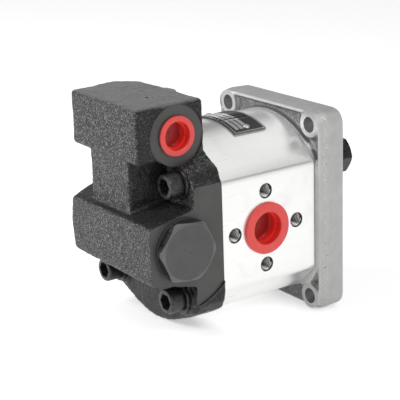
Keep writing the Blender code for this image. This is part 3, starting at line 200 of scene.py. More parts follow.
class StageLooks(PropertyGroup):
    """Camera, floor and soft studio light."""

    eye: FloatVectorProperty(
        name="Eye", description="Place of the camera", size=3, unit="LENGTH",
        default=(538.9 * MM, -430.0 * MM, 198.0 * MM),
    )
    aim: FloatVectorProperty(
        name="Aim", description="Point the camera looks at", size=3, unit="LENGTH",
        default=(-2.8 * MM, -60.3 * MM, -8.9 * MM),
    )
    roll: FloatProperty(
        name="Roll", description="Turn of the camera about its view", unit="ROTATION",
        default=math.radians(-2.0),
    )
    lens: FloatProperty(name="Lens", description="Focal length in mm", default=114.81)
    floor: colour("Floor", "Plain pale floor", (0.93, 0.93, 0.93))
    floor_glow: FloatProperty(
        name="Floor glow", description="What the floor lacks to white in the picture", default=0.47
    )
    tent_top: FloatProperty(name="Tent above", description="Light from above", default=0.60)
    tent_bottom: FloatProperty(name="Tent below", description="Light from below", default=0.25)
    tent_band: FloatProperty(
        name="Tent band", description="Grey band between the tent's wall and roof", default=0.06
    )
    key_place: FloatVectorProperty(
        name="Key place", description="Key light, seen from the point aimed at", size=3,
        unit="LENGTH", default=(-0.35, -0.90, 0.75),
    )
    key_size: length("Key size", "Side of the square key light", 0.6)
    key_power: FloatProperty(name="Key", description="Power of the key light in watts", default=9.7)
    side_place: FloatVectorProperty(
        name="Side place", description="Side light, seen from the point aimed at", size=3,
        unit="LENGTH", default=(0.75, 0.15, 0.80),
    )
    side_size: length("Side size", "Side of the square side light", 0.5)
    side_power: FloatProperty(name="Side", description="Power of the side light in watts", default=2.6)


LOOKS = {
    "casting": CastingLooks,
    "alloy": AlloyLooks,
    "steel": SteelLooks,
    "plastic": PlasticLooks,
    "plate": PlateLooks,
    "stage": StageLooks,
}


class PumpLooks(PropertyGroup):
    """All settings of the pump's looks."""

    casting: PointerProperty(type=CastingLooks)
    alloy: PointerProperty(type=AlloyLooks)
    steel: PointerProperty(type=SteelLooks)
    plastic: PointerProperty(type=PlasticLooks)
    plate: PointerProperty(type=PlateLooks)
    stage: PointerProperty(type=StageLooks)


# Shader building

class Value:
    """A node's output. Arithmetic on it adds Math nodes."""

    def __init__(self, finish, socket):
        self.finish = finish
        self.socket = socket

    def math(self, operation, first, second=None):
        """Math node on one or two values."""
        values = {0: first} if second is None else {0: first, 1: second}
        return self.finish.node("ShaderNodeMath", {"operation": operation}, values)

    def __add__(self, other):
        return self.math("ADD", self, other)

    def __sub__(self, other):
        return self.math("SUBTRACT", self, other)

    def __rsub__(self, other):
        return self.math("SUBTRACT", other, self)

    def __mul__(self, other):
        return self.math("MULTIPLY", self, other)

    def __gt__(self, other):
        return self.math("GREATER_THAN", self, other)

    def __lt__(self, other):
        return self.math("LESS_THAN", self, other)

    def __abs__(self):
        return self.math("ABSOLUTE", self)

    __radd__ = __add__
    __rmul__ = __mul__

    def clamped(self, low, high):
        """The value mapped from low..high to 0..1 and held there."""
        return self.finish.node(
            "ShaderNodeMapRange", {"clamp": True}, {"Value": self, "From Min": low, "From Max": high}
        )


class Graph:
    """Node tree under construction."""

    def __init__(self, tree):
        self.tree = tree

    def node(self, kind, settings, values, output=0):
        """Any node: its settings first, then values or links of its sockets."""
        made = self.tree.nodes.new(kind)
        for name, value in settings.items():
            if name == "stops":
                self.set_stops(made.color_ramp, value)
            else:
                setattr(made, name, value)
        for socket, value in values.items():
            if isinstance(value, Value):
                self.tree.links.new(value.socket, made.inputs[socket])
            else:
                made.inputs[socket].default_value = value
        return None if output is None else Value(self, made.outputs[output])

    def set_stops(self, ramp, stops):
        """Colour stops of a ramp."""
        while len(ramp.elements) < len(stops):
            ramp.elements.new(0.5)
        for element, (position, shade) in zip(ramp.elements, stops):
            element.position = position
            element.color = (*shade, 1)

    def shown(self):
        """One where the camera looks, or looks by way of a mirror or a glass."""
        rays = ("Is Camera Ray", "Is Glossy Ray", "Is Transmission Ray")
        camera, glossy, through = (self.node("ShaderNodeLightPath", {}, {}, ray) for ray in rays)
        return (camera + glossy + through).clamped(0, 1)


class Finish(Graph):
    """Node material under construction."""

    def __init__(self, name, base, roughness, metallic=0.0, **constants):
        self.material = bpy.data.materials.new(name)
        self.material.use_nodes = True
        super().__init__(self.material.node_tree)
        self.surface = self.tree.nodes["Principled BSDF"]
        self.set("Base Color", (*base, 1))
        self.set("Roughness", roughness)
        self.set("Metallic", metallic)
        for socket, value in constants.items():
            self.set(socket.replace("_", " "), value)
        self.places = {}

    def set(self, socket, value):
        """Value or link of a socket of the surface shader."""
        if isinstance(value, Value):
            self.tree.links.new(value.socket, self.surface.inputs[socket])
        else:
            self.surface.inputs[socket].default_value = value

    def place(self):
        """Place on the object, in metres."""
        if "object" not in self.places:
            self.places["object"] = self.node("ShaderNodeTexCoord", {}, {}, output="Object")
        return self.places["object"]

    def axis(self, letter):
        """One coordinate of the place."""
        if letter not in self.places:
            self.places[letter] = self.node("ShaderNodeSeparateXYZ", {}, {0: self.place()}, output=letter)
        return self.places[letter]

    def attribute(self, name):
        """Value that the piece's vertices carry."""
        return self.node("ShaderNodeAttribute", {"attribute_name": name}, {}, output="Fac")

    def stretched(self, stretch, turn=(0, 0, 0)):
        """Place turned and stretched for a pattern that goes one way."""
        return self.node(
            "ShaderNodeMapping", {}, {"Vector": self.place(), "Scale": stretch, "Rotation": turn}
        )

    def noise(self, width, detail=2.0, rough=0.5, where=None, distortion=0.0):
        """Noise whose features have about the given width, between 0 and 1."""
        return self.node(
            "ShaderNodeTexNoise",
            {"noise_dimensions": "3D"},
            {
                "Vector": where or self.place(),
                "Scale": 1 / width,
                "Detail": detail,
                "Roughness": rough,
                "Distortion": distortion,
            },
        )

    def cells(self, width):
        """Distance to the nearest of many scattered points."""
        return self.node(
            "ShaderNodeTexVoronoi", {}, {"Vector": self.place(), "Scale": 1 / width}
        )

    def away_from(self, axis, centre):
        """Distance from an axis through a centre."""
        across = Vector((1, 1, 1)) - AXES[axis]
        beside = self.node(
            "ShaderNodeVectorMath",
            {"operation": "SUBTRACT"},
            {0: self.stretched(across), 1: spot(axis, centre, (0, 0), 0)},
        )
        return self.node("ShaderNodeVectorMath", {"operation": "LENGTH"}, {0: beside}, output="Value")

    def rings(self, away, width):
        """Noise that changes with the distance from an axis alone."""
        return self.node("ShaderNodeTexNoise", {"noise_dimensions": "1D"}, {"W": away, "Scale": 1 / width})

    def mix(self, factor, first, second):
        """Mix of two colours. The node's colour sockets share their names, so numbers pick them."""
        share, colour_a, colour_b, colour_out = 0, 6, 7, 2
        values = {share: factor, colour_a: self.opaque(first), colour_b: self.opaque(second)}
        return self.node("ShaderNodeMix", {"data_type": "RGBA"}, values, colour_out)

    def toned(self, factor, shade, low, high):
        """Mix of a colour made darker and the same colour made lighter."""
        return self.mix(factor, scaled(shade, low), scaled(shade, high))

    @staticmethod
    def opaque(shade):
        """Colour with its alpha, or a link as it is."""
        return shade if isinstance(shade, Value) else (*shade, 1)

    def bump(self, height, depth, strength=1.0):
        """Relief of the given depth on the surface."""
        normal = self.node(
            "ShaderNodeBump", {}, {"Height": height, "Distance": depth, "Strength": strength}
        )
        self.set("Normal", normal)


def scaled(shade, factor):
    """Colour made lighter or darker."""
    return tuple(min(1, part * factor) for part in shade)


# Finishes

def sand_cast_finish(looks):
    """Black paint on a sand-cast skin: grain crests catch the light; right sides, the lower hollow and the
    ledge are smoother and painted darker as shade, and the top is painted lighter as light from above.
    """
    finish = Finish("black_sand_casting", looks.paint, 0.36, Specular_IOR_Level=0.3)
    grain = finish.noise(looks.grain, 3, 0.62)
    crest = grain.clamped(0.49, 0.68)
    pits = finish.cells(1.7 * looks.grain).clamped(0.08, 0.32)
    patches = finish.noise(22 * MM, 2)
    # Painted shade, partly smoother paint: this weight darkens right sides, the lower hollow and the
    # ledge.
    runs_and_shade = finish.attribute("paint_run")
    # Painted light on the top, where the paint is also smoother.
    rubbed = finish.attribute("rubbed") * (0.5 + 0.5 * patches)
    shade = finish.mix(crest, looks.paint, looks.crest)
    shade = finish.mix(pits, scaled(looks.paint, 0.4), shade)
    shade = finish.mix(runs_and_shade * (1 - 0.22 * crest), shade, looks.thick_shaded)
    finish.set("Base Color", finish.mix(rubbed * (1 - 0.3 * crest), shade, looks.rubbed))
    finish.set("Roughness", 0.40 - 0.12 * crest + 0.08 * patches - 0.10 * runs_and_shade)
    finish.bump((grain + 0.4 * pits) * (1 - 0.65 * runs_and_shade - 0.5 * rubbed), 0.35 * MM)
    return finish.material


def milled_cover_finish(looks):
    """Painted milled face with faint cutter marks."""
    finish = Finish("black_milled_face", looks.milled, 0.42)
    marks = finish.noise(0.5 * MM, 2, 0.5, finish.stretched((1, 0.06, 1), (0.35, 0, 0)))
    cloud = finish.noise(14 * MM, 3)
    specks = finish.noise(0.9 * MM, 2).clamped(0.66, 0.76)
    shade = finish.toned(cloud.clamped(0.3, 0.75), looks.milled, 0.86, 1.2)
    finish.set("Base Color", finish.mix(specks * 0.5, shade, scaled(looks.milled, 2.4)))
    finish.set("Roughness", 0.36 + 0.14 * cloud + 0.06 * marks)
    finish.bump(marks, 0.02 * MM)
    return finish.material


def extruded_finish(looks):
    """Bright extrusion: die lines along the body, soft smudges of handling."""
    finish = Finish("bright_extrusion", looks.body, 0.3, 0.68)
    lines = finish.noise(0.35 * MM, 2, 0.6, finish.stretched((1, 0.012, 1)))
    broad = finish.noise(3.2 * MM, 2, 0.5, finish.stretched((1, 0.03, 1)))
    smudge = finish.noise(16 * MM, 4, 0.6, distortion=0.6).clamped(0.56, 0.80)
    shade = finish.toned(lines.clamped(0.3, 0.7), looks.body, 0.982, 1.01)
    shade = finish.mix(broad.clamped(0.4, 0.8) * 0.25, shade, scaled(looks.body, 0.95))
    finish.set("Base Color", finish.mix(smudge * 0.45, shade, scaled(looks.body, 0.80)))
    finish.set("Roughness", 0.26 + 0.05 * lines + 0.14 * smudge)
    finish.bump(lines + 0.6 * broad, 0.005 * MM)
    return finish.material


def sawn_finish(looks):
    """Faced ends and bored walls of the body."""
    finish = Finish("machined_body_face", scaled(looks.body, 0.9), 0.3, 0.8)
    rings = finish.noise(0.3 * MM, 1, 0.5, finish.stretched((1, 1, 0.05), (0, 0.6, 0)))
    finish.set("Base Color", finish.toned(rings, looks.body, 0.78, 0.95))
    finish.set("Roughness", 0.26 + 0.12 * rings)
    finish.bump(rings, 0.01 * MM)
    return finish.material


def bored_finish(name, shade):
    """Drilled wall with tool marks and a film of oil, in the colour it is given; its callers give darker
    colours as painted shade inside the bores.
    """
    finish = Finish(name, shade, 0.34, 0.75)
    rings = finish.noise(0.4 * MM, 2, 0.6)
    finish.set("Base Color", finish.toned(rings, shade, 0.5, 1.5))
    finish.set("Roughness", 0.28 + 0.2 * rings)
    finish.bump(rings, 0.02 * MM)
    return finish.material


def thread_finish(looks):
    """Cut thread: bright crests over roots painted dark as shade, the crests fading into that painted
    shade further into the hole.
    """
    finish = Finish("cut_thread", looks.machined, 0.3, 0.6)
    # Painted shade: further into the hole the crests fade to the dark root colour.
    down = (SIDE_X - finish.axis("X")).clamped(0, 11 * MM)
    grain = finish.noise(0.6 * MM, 2)
    bright = finish.attribute("crest").clamped(0.25, 0.8) * (1 - down)
    crest = finish.toned(grain, looks.machined, 0.9, 1.3)
    finish.set("Base Color", finish.mix(bright, looks.root, crest))
    finish.set("Roughness", 0.24 + 0.16 * grain)
    finish.bump(grain, 0.01 * MM)
    return finish.material


def die_cast_finish(looks):
    """Matt die-cast skin: fine blast texture, painted shade in the recess, on the pads' outer sides and on
    the top, and lighter convex edges.
    """
    finish = Finish("blasted_die_casting", looks.flange, 0.55, 0.35)
    grain = finish.noise(0.45 * MM, 2, 0.6)
    cloud = finish.noise(9 * MM, 4, 0.6)
    flow = finish.noise(3.5 * MM, 3, 0.6, finish.stretched((1, 1, 0.3)))
    # Convex edges, found by pointiness, are made lighter and smoother.
    convex_edges = finish.node("ShaderNodeNewGeometry", {}, {}, output="Pointiness").clamped(0.505, 0.56)
    shade = finish.toned(cloud.clamped(0.3, 0.7), looks.flange, 0.90, 1.07)
    shade = finish.mix(flow.clamped(0.55, 0.75) * 0.4, shade, scaled(looks.flange, 0.82))
    shade = finish.mix(grain.clamped(0.62, 0.75) * 0.5, shade, scaled(looks.flange, 1.25))
    # Painted shade from the hollow weight: recess, pads' outer sides and top faces go darker.
    shade = finish.mix(finish.attribute("hollow") * (0.75 + 0.25 * cloud), shade, looks.hollow)
    shade = finish.mix(convex_edges * 0.5, shade, looks.machined)
    seam = 1 - abs(finish.axis("Y") - PARTING_Y).clamped(0.6 * MM, 2.2 * MM)
    pores = finish.noise(1.5 * MM, 3, 0.7).clamped(0.63, 0.68)
    glints = finish.noise(0.8 * MM, 2, 0.7).clamped(0.58, 0.66)
    shade = finish.mix(seam * glints * 0.7, shade, scaled(looks.flange, 1.7))
    finish.set("Base Color", finish.mix(seam * pores, shade, scaled(looks.flange, 0.3)))
    finish.set("Roughness", 0.50 + 0.14 * cloud - 0.12 * convex_edges)
    finish.bump(grain + 0.8 * flow, 0.06 * MM)
    return finish.material


def faced_alloy_finish(name, face):
    """Turned and faced alloy with fine concentric marks about the shaft."""
    finish = Finish(name, face, 0.32, 0.7)
    rings = finish.rings(finish.away_from("Y", (0, 0)), 0.18 * MM)
    cloud = finish.noise(12 * MM, 3)
    shade = finish.toned(rings, face, 0.9, 1.05)
    finish.set("Base Color", finish.mix(cloud.clamped(0.4, 0.8) * 0.3, shade, scaled(face, 0.85)))
    finish.set("Roughness", 0.26 + 0.12 * rings + 0.1 * cloud)
    finish.bump(rings, 0.008 * MM)
    return finish.material


def oxide_finish(looks):
    """Black oxide with an oily, slightly uneven sheen and bright worn crests."""
    finish = Finish("black_oxide", looks.oxide, 0.36, 0.5)
    cloud = finish.noise(2.2 * MM, 4, 0.6)
    worn = finish.noise(0.8 * MM, 3, 0.6).clamped(0.60, 0.74)
    shade = finish.toned(cloud.clamped(0.3, 0.7), looks.oxide, 0.7, 1.7)
    finish.set("Base Color", finish.mix(worn * 0.6, shade, scaled(looks.oxide, 4.5)))
    finish.set("Roughness", 0.18 + 0.22 * cloud)
    finish.bump(cloud, 0.03 * MM)
    return finish.material


def phosphate_finish(looks):
    """Grey phosphated steel, turned: faint rings about the valve's axis and a lighter rim, worn and
    painted with a highlight along the chamfer's edge.
    """
    finish = Finish("grey_phosphate", looks.phosphate, 0.42, 0.25)
    away = finish.away_from("X", section(VALVE_AXIS, "X"))
    rings = finish.rings(away, 0.35 * MM)
    cloud = finish.noise(7 * MM, 4, 0.6)
    grain = finish.noise(0.5 * MM, 2)
    shade = finish.toned(cloud.clamped(0.3, 0.7), looks.phosphate, 0.86, 1.14)
    shade = finish.mix(rings.clamped(0.4, 0.7) * 0.35, shade, scaled(looks.phosphate, 1.3))
    shade = finish.mix(grain.clamped(0.6, 0.8) * 0.3, shade, scaled(looks.phosphate, 1.6))
    # Worn rim and painted highlight: the chamfer's edge is lightened.
    rim = away.clamped(PLUG_CHAMFER_RADIUS - 0.5 * MM, PLUG_CHAMFER_RADIUS)
    rubbed = rim * (0.45 + 0.4 * cloud.clamped(0.4, 0.7))
    finish.set("Base Color", finish.mix(rubbed, shade, scaled(looks.phosphate, 2.0)))
    finish.set("Roughness", 0.36 + 0.1 * cloud + 0.06 * rings)
    finish.bump(rings + grain, 0.012 * MM)
    return finish.material


def ground_steel_finish(looks):
    """Ground steel with fine lines round the shafts."""
    finish = Finish("ground_steel", looks.ground, 0.26, 0.95)
    lines = finish.noise(0.2 * MM, 2, 0.5, finish.stretched((0.04, 1, 0.04)))
    cloud = finish.noise(8 * MM, 3)
    shade = finish.toned(lines, looks.ground, 0.88, 1.08)
    finish.set("Base Color", finish.mix(cloud.clamped(0.5, 0.8) * 0.3, shade, scaled(looks.ground, 0.7)))
    finish.set("Roughness", 0.2 + 0.14 * lines + 0.08 * cloud)
    finish.bump(lines, 0.006 * MM)
    return finish.material


def moulded_red_finish(name, red):
    """Glossy moulded plastic with faint flow marks."""
    finish = Finish(name, red, 0.34)
    flow = finish.noise(5 * MM, 3, 0.5, distortion=0.8)
    fine = finish.noise(0.7 * MM, 2)
    finish.set("Base Color", finish.toned(flow.clamped(0.3, 0.75), red, 0.90, 1.06))
    finish.set("Roughness", 0.30 + 0.12 * flow + 0.05 * fine)
    finish.bump(fine + flow, 0.03 * MM)
    return finish.material


def rubber_finish(looks):
    """Matt moulded rubber with a faint bloom."""
    finish = Finish("black_rubber", looks.rubber, 0.6)
    bloom = finish.noise(3 * MM, 3)
    finish.set("Base Color", finish.toned(bloom.clamped(0.4, 0.8), looks.rubber, 1, 2.2))
    finish.set("Roughness", 0.52 + 0.2 * bloom)
    finish.bump(finish.noise(0.3 * MM, 2), 0.02 * MM)
    return finish.material


def bearing_finish(name, shade, width):
    """Bearing metal with turned marks."""
    finish = Finish(name, shade, 0.35, 0.85)
    marks = finish.noise(width, 3, 0.6, finish.stretched((0.1, 1, 0.1)))
    finish.set("Base Color", finish.toned(marks, shade, 0.8, 1.1))
    finish.set("Roughness", 0.28 + 0.18 * marks)
    finish.bump(marks, 0.01 * MM)
    return finish.material


def printed_plate_finish(looks):
    """Dark printed field with a bare border and three long blank fields."""
    finish = Finish("printed_foil", looks.ink, 0.4, 0.4)
    centre = middle("name_plate")
    half = reach("name_plate") / 2
    across = abs(finish.axis("Y") - centre.y)
    along = abs(finish.axis("X") - centre.x)
    margin = 0.7 * looks.border
    line = margin + looks.border
    inside = (across < half.y - margin) * (along < half.x - margin)
    edge_line = (across > half.y - line) * (across < half.y - margin)
    end_line = (along > half.x - line) * (along < half.x - margin)
    blank = 0
    for offset in looks.rows:
        row = abs(finish.axis("Y") - (centre.y + offset)) < looks.row_width / 2
        blank = row * (finish.axis("X") < half.x - looks.row_end) + blank
    left_end = finish.axis("X") > looks.row_end - half.x
    bare = ((edge_line + end_line) * inside + blank * left_end).clamped(0, 1)
    scuff = finish.noise(1.6 * MM, 4, 0.7)
    shade = finish.mix(bare, looks.ink, looks.foil)
    finish.set("Base Color", finish.mix(scuff.clamped(0.62, 0.8) * 0.5, shade, scaled(looks.foil, 0.6)))
    finish.set("Roughness", 0.46 - 0.16 * bare + 0.1 * scuff)
    finish.bump(bare * -1.0 + 0.3 * scuff, 0.03 * MM)
    return finish.material


def floor_finish(looks):
    """Plain pale floor with a trace of unevenness."""
    finish = Finish("pale_floor", looks.floor, 0.8, Specular_IOR_Level=0.15)
    cloud = finish.noise(0.4, 2)
    finish.set("Base Color", finish.toned(cloud, looks.floor, 0.995, 1.005))
    glow = looks.floor_glow
    finish.set("Emission Color", finish.mix(finish.shown(), (0, 0, 0), (glow, glow, glow)))
    finish.set("Emission Strength", 1.0)
    return finish.material


# Mesh building

def spot(axis, centre, offset, station):
    """Point beside an axis through the centre, at a station along it."""
    point = {
        "X": (station, centre[0] + offset[0], centre[1] + offset[1]),
        "Y": (centre[0] + offset[0], station, centre[1] + offset[1]),
        "Z": (centre[0] + offset[0], centre[1] + offset[1], station),
    }
    return Vector(point[axis])


def section(place, axis):
    """The two coordinates of a place across an axis."""
    return {
        "X": (place.y, place.z),
        "Y": (place.x, place.z),
        "Z": (place.x, place.y),
    }[axis]


def turned(axis, centre, profile, steps=64, ring=False):
    """Profile of radius and station turned about an axis."""
    bm = bmesh.new()
    verts = [bm.verts.new(spot(axis, centre, (radius, 0), station)) for radius, station in profile]
    edges = [bm.edges.new(pair) for pair in zip(verts, verts[1:])]
    if ring:
        edges.append(bm.edges.new((verts[-1], verts[0])))
    bmesh.ops.spin(
        bm,
        geom=verts + edges,
        cent=spot(axis, centre, (0, 0), 0),
        axis=AXES[axis],
        angle=math.tau,
        steps=steps,
        use_merge=True,
    )
    bmesh.ops.remove_doubles(bm, verts=bm.verts, dist=0.001 * MM)
    bmesh.ops.recalc_face_normals(bm, faces=bm.faces)
    return bm


def rod(axis, centre, radius, start, end, steps=64):
    """Plain round tool between two stations."""
    return turned(axis, centre, [(0, start), (radius, start), (radius, end), (0, end)], steps)


def add_arc(bm, axis, centre, offset, station, sweep, steps):
    """Row of edges left by a point that turns about an axis."""
    point = bm.verts.new(spot(axis, centre, offset, station))
    bmesh.ops.spin(
        bm,
        geom=[point],
        cent=spot(axis, centre, (0, 0), station),
        axis=AXES[axis],
        angle=sweep,
        steps=steps,
    )


def drawn_out(bm, axis, length):
    """Solid along an axis: a face is closed from the mesh's points and edges, then extruded."""
    face = bmesh.ops.contextual_create(bm, geom=bm.verts[:] + bm.edges[:])["faces"]
    grown = bmesh.ops.extrude_face_region(bm, geom=face, use_keep_orig=True)["geom"]
    moved = [part for part in grown if isinstance(part, bmesh.types.BMVert)]
    bmesh.ops.translate(bm, verts=moved, vec=AXES[axis] * length)
    bmesh.ops.recalc_face_normals(bm, faces=bm.faces)
    return bm


def hexagonal_bar(axis, centre, across_flats, start, end, turn=0.0):
    """Hexagonal bar between two stations."""
    sides = 6
    corner = across_flats / 2 / math.cos(math.pi / sides)
    first = (corner * math.cos(turn), corner * math.sin(turn))
    bm = bmesh.new()
    add_arc(bm, axis, centre, first, start, math.tau * (sides - 1) / sides, sides - 1)
    return drawn_out(bm, axis, end - start)


def block(low, high):
    """Box between two corners."""
    bm = bmesh.new()
    bmesh.ops.create_cube(bm, size=1)
    low, high = Vector(low), Vector(high)
    bmesh.ops.scale(bm, verts=bm.verts, vec=high - low)
    bmesh.ops.translate(bm, verts=bm.verts, vec=(low + high) / 2)
    return bm


def helix_ridge(axis, centre, root, crest, pitch, start, turns, steps=28):
    """Thread ridge: a triangle swept along a helix."""
    bm = bmesh.new()
    half = 0.42 * pitch
    corners = [(root, start - half), (crest, start), (root, start + half)]
    verts = [bm.verts.new(spot(axis, centre, (radius, 0), station)) for radius, station in corners]
    face = bmesh.ops.contextual_create(bm, geom=verts)["faces"]
    bmesh.ops.spin(
        bm,
        geom=face,
        cent=spot(axis, centre, (0, 0), 0),
        axis=AXES[axis],
        dvec=AXES[axis] * pitch / steps,
        angle=math.tau * turns,
        steps=steps * turns,
    )
    bmesh.ops.recalc_face_normals(bm, faces=bm.faces)
    return bm


def merged_copy(node):
    """A CAD node's mesh with its loose triangles joined."""
    bm = bmesh.new()
    bm.from_mesh(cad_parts[node].data)
    bmesh.ops.remove_doubles(bm, verts=bm.verts, dist=0.0005 * MM)
    return bm


def joined(*parts):
    """Several meshes as one."""
    whole = bmesh.new()
    for part in parts:
        mesh = bpy.data.meshes.new("part")
        part.to_mesh(mesh)
        part.free()
        whole.from_mesh(mesh)
        bpy.data.meshes.remove(mesh)
    return whole


def moved_copy(bm, step):
    """Copy of a mesh, moved."""
    copy = bm.copy()
    bmesh.ops.translate(copy, verts=copy.verts, vec=step)
    return copy


def loose_object(name, bm):
    """Object made from a mesh, in the scene."""
    mesh = bpy.data.meshes.new(name)
    bm.to_mesh(mesh)
    bm.free()
    made = bpy.data.objects.new(name, mesh)
    bpy.context.scene.collection.objects.link(made)
    return made


def settle(piece):
    """Replace a piece's mesh by what its modifiers make of it."""
    graph = bpy.context.evaluated_depsgraph_get()
    mesh = bpy.data.meshes.new_from_object(piece.evaluated_get(graph))
    piece.modifiers.clear()
    old = piece.data
    piece.data = mesh
    bpy.data.meshes.remove(old)


def carve(piece, tool_mesh, operation="DIFFERENCE"):
    """Boolean with a closed tool, settled at once."""
    tool = loose_object(f"{piece.name}_tool", tool_mesh)
    modifier = piece.modifiers.new("carve", "BOOLEAN")
    modifier.operation = operation
    modifier.solver = "MANIFOLD"
    modifier.object = tool
    settle(piece)
    bpy.data.objects.remove(tool, do_unlink=True)


def shared_part(bm, tool_mesh):
    """The part of a mesh that lies inside a tool."""
    piece = loose_object("shared_part", bm)
    carve(piece, tool_mesh, "INTERSECT")
    kept = bmesh.new()
    kept.from_mesh(piece.data)
    bpy.data.objects.remove(piece, do_unlink=True)
    return kept


def smooth(piece, angle=32):
    """Smooth shading apart from edges sharper than the angle."""
    piece.data.shade_smooth()
    piece.data.set_sharp_from_angle(angle=math.radians(angle))


def bevelled(piece, width, segments=2, angle=38):
    """Small live bevel on the sharp edges."""
    modifier = piece.modifiers.new("edge", "BEVEL")
    modifier.width = width
    modifier.segments = segments
    modifier.limit_method = "ANGLE"
    modifier.angle_limit = math.radians(angle)
    modifier.harden_normals = True


def dress(piece, *finishes):
    """Give a piece its finishes, numbered in their order."""
    piece.data.materials.clear()
    for material in finishes:
        piece.data.materials.append(material)


def finished(name, bm, body, materials, nodes=()):
    """Piece of the pump: on its body, with its finishes, standing for its nodes."""
    piece = loose_object(name, bm)
    dress(piece, *materials)
    smooth(piece)
    settle_in(piece, body, nodes)
    return piece


def settle_in(piece, body, nodes):
    """Tie a piece to its body, and hide the nodes it stands for."""
    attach(piece, body)
    if nodes:
        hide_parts(*nodes)


def mark_faces(piece, index, test):
    """Give the faces that pass the test another finish."""
    for face in piece.data.polygons:
        if test(Vector(face.center), Vector(face.normal)):
            face.material_index = index


def on_plane(letter, station, square, way=1):
    """Test for faces at a station of an axis that look squarely along it."""
    index = "XYZ".index(letter)
    return lambda centre, normal: (
        way * normal[index] > square and abs(centre[index] - station) < FLATNESS
    )


def weighted(piece, name, weight):
    """Attribute that each vertex gets from its place and its normal."""
    layer = piece.data.attributes.new(name, "FLOAT", "POINT")
    for vertex in piece.data.vertices:
        layer.data[vertex.index].value = weight(vertex.co, vertex.normal)


def rise(value, low, high):
    """Nought up to one between two values."""
    return min(1, max(0, (value - low) / (high - low)))


def displaced(piece, width, height):
    """Low relief from soft noise on the piece's own coordinates."""
    pattern = bpy.data.textures.new(f"{piece.name}_relief", "CLOUDS")
    pattern.noise_scale = width
    pattern.noise_depth = 2
    modifier = piece.modifiers.new("relief", "DISPLACE")
    modifier.texture = pattern
    modifier.texture_coords = "LOCAL"
    modifier.mid_level = 0.5
    modifier.strength = height * 2


def rough_blank(name, parts, voxel, softness, reliefs):
    """Cast blank: overlapping solids fused on a grid, softened and made uneven."""
    blank = loose_object(name, joined(*parts))
    remesh = blank.modifiers.new("fuse", "REMESH")
    remesh.mode = "VOXEL"
    remesh.voxel_size = voxel
    soften = blank.modifiers.new("soften", "SMOOTH")
    soften.factor = 0.5
    soften.iterations = softness
    for width, height in reliefs:
        displaced(blank, width, height)
    settle(blank)
    return blank


# Rear cover

MILL_RADIUS = 33.0 * MM
MILL_TOP = 30.2 * MM
SPOT_RADIUS = 15.9 * MM
STOCK = 0.9 * MM
PIT_PLACE = (7.9 * MM, -97.7 * MM)
PIT_RADIUS = 0.9 * MM
PIT_DEPTH = 0.6 * MM
COVER_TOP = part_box("rear_cover")[1][2]


def mill_sweep(start):
    """Round sweep of the cutter about the valve."""
    return rod("X", section(VALVE_AXIS, "X"), MILL_RADIUS, start, start + MILL_RADIUS, 128)


def mill_run(start):
    """Straight run of the cutter over the joint plate."""
    low = (start, VALVE_AXIS.y - 0.4 * MILL_RADIUS, MIDDLE_Z)
    high = (start + MILL_RADIUS, JOINT_Y + MILL_RADIUS, MIDDLE_Z + MILL_TOP)
    return block(low, high)


def spot_tool(start):
    """Spot facer about the delivery port."""
    return rod("X", section(DELIVERY_AXIS, "X"), SPOT_RADIUS, start, start + MILL_RADIUS, 96)


def beyond_joint(start):
    """Everything in front of a station along the shaft."""
    size = 4 * BODY_RADIUS
    return block((-size, start, -size), (size, start + size, size))


def cover_blank(looks):
    """Rough casting of the cover, with stock on its worked faces."""
    solid = merged_copy("rear_cover")
    outwards = moved_copy(solid, (STOCK, 0, 0))
    parts = [
        shared_part(outwards.copy(), mill_sweep(MILLED_X - 2 * STOCK)),
        shared_part(outwards.copy(), mill_run(MILLED_X - 2 * STOCK)),
        shared_part(outwards, spot_tool(SPOT_X - 2 * STOCK)),
        shared_part(moved_copy(solid, (0, STOCK, 0)), beyond_joint(JOINT_Y - 2 * STOCK)),
        solid,
    ]
    reliefs = ((looks.lump_size, looks.lump_height), (looks.sand_size, looks.sand_height))
    return rough_blank("cast_cover", parts, looks.voxel, looks.softness, reliefs)


def pit_tool():
    """Small round pit in the cover's top."""
    above = COVER_TOP + 3 * MM
    floor = COVER_TOP - PIT_DEPTH
    profile = [(0, floor - PIT_DEPTH), (PIT_RADIUS, floor), (PIT_RADIUS, above), (0, above)]
    return turned("Z", PIT_PLACE, profile, 20)


def make_cast_cover(looks):
    """Rough casting that is then milled, spot-faced and faced at the joint."""
    cover = cover_blank(looks)
    for tool in (mill_sweep(MILLED_X), mill_run(MILLED_X), spot_tool(SPOT_X), beyond_joint(JOINT_Y)):
        carve(cover, tool)
    carve(cover, pit_tool())
    dress(cover, sand_cast_finish(looks), milled_cover_finish(looks))
    # Weight of painted shade, where the paint also ran smooth.
    weighted(cover, "paint_run", paint_run)
    # Weight of painted light on the top, where the paint is also smoother.
    weighted(cover, "rubbed", rubbed_and_lit_top)
    for letter, station in (("X", MILLED_X), ("X", SPOT_X), ("Y", JOINT_Y)):
        mark_faces(cover, 1, on_plane(letter, station, 0.995))
    smooth(cover, 40)
    settle_in(cover, "housing", ("rear_cover",))


def rubbed_and_lit_top(place, normal):
    """How much the cover's top is painted lighter, as light falling from above, and its paint smoothed by
    rubbing: on the top alone.
    """
    return rise(normal.z, 0.5, 0.85) * rise(place.z, COVER_TOP - 5 * MM, COVER_TOP - 2 * MM)


def paint_run(place, normal):
    """How far the paint ran together and is painted darker as shade: on right sides, in the lower hollow
    and on the ledge under the upper block.
    """
    side = 0.85 * rise(normal.x, 0.45, 0.85)
    low = rise(MIDDLE_Z - 19 * MM - place.z, 0, 2 * MM)
    hollow = low * rise(place.y, VALVE_AXIS.y, VALVE_AXIS.y + 6 * MM)
    ledge = rise(normal.z, 0.6, 0.9) * rise(DELIVERY_AXIS.z - 18 * MM - place.z, 0, 3 * MM)
    return max(side, 0.92 * hollow, 0.85 * ledge)


# Body

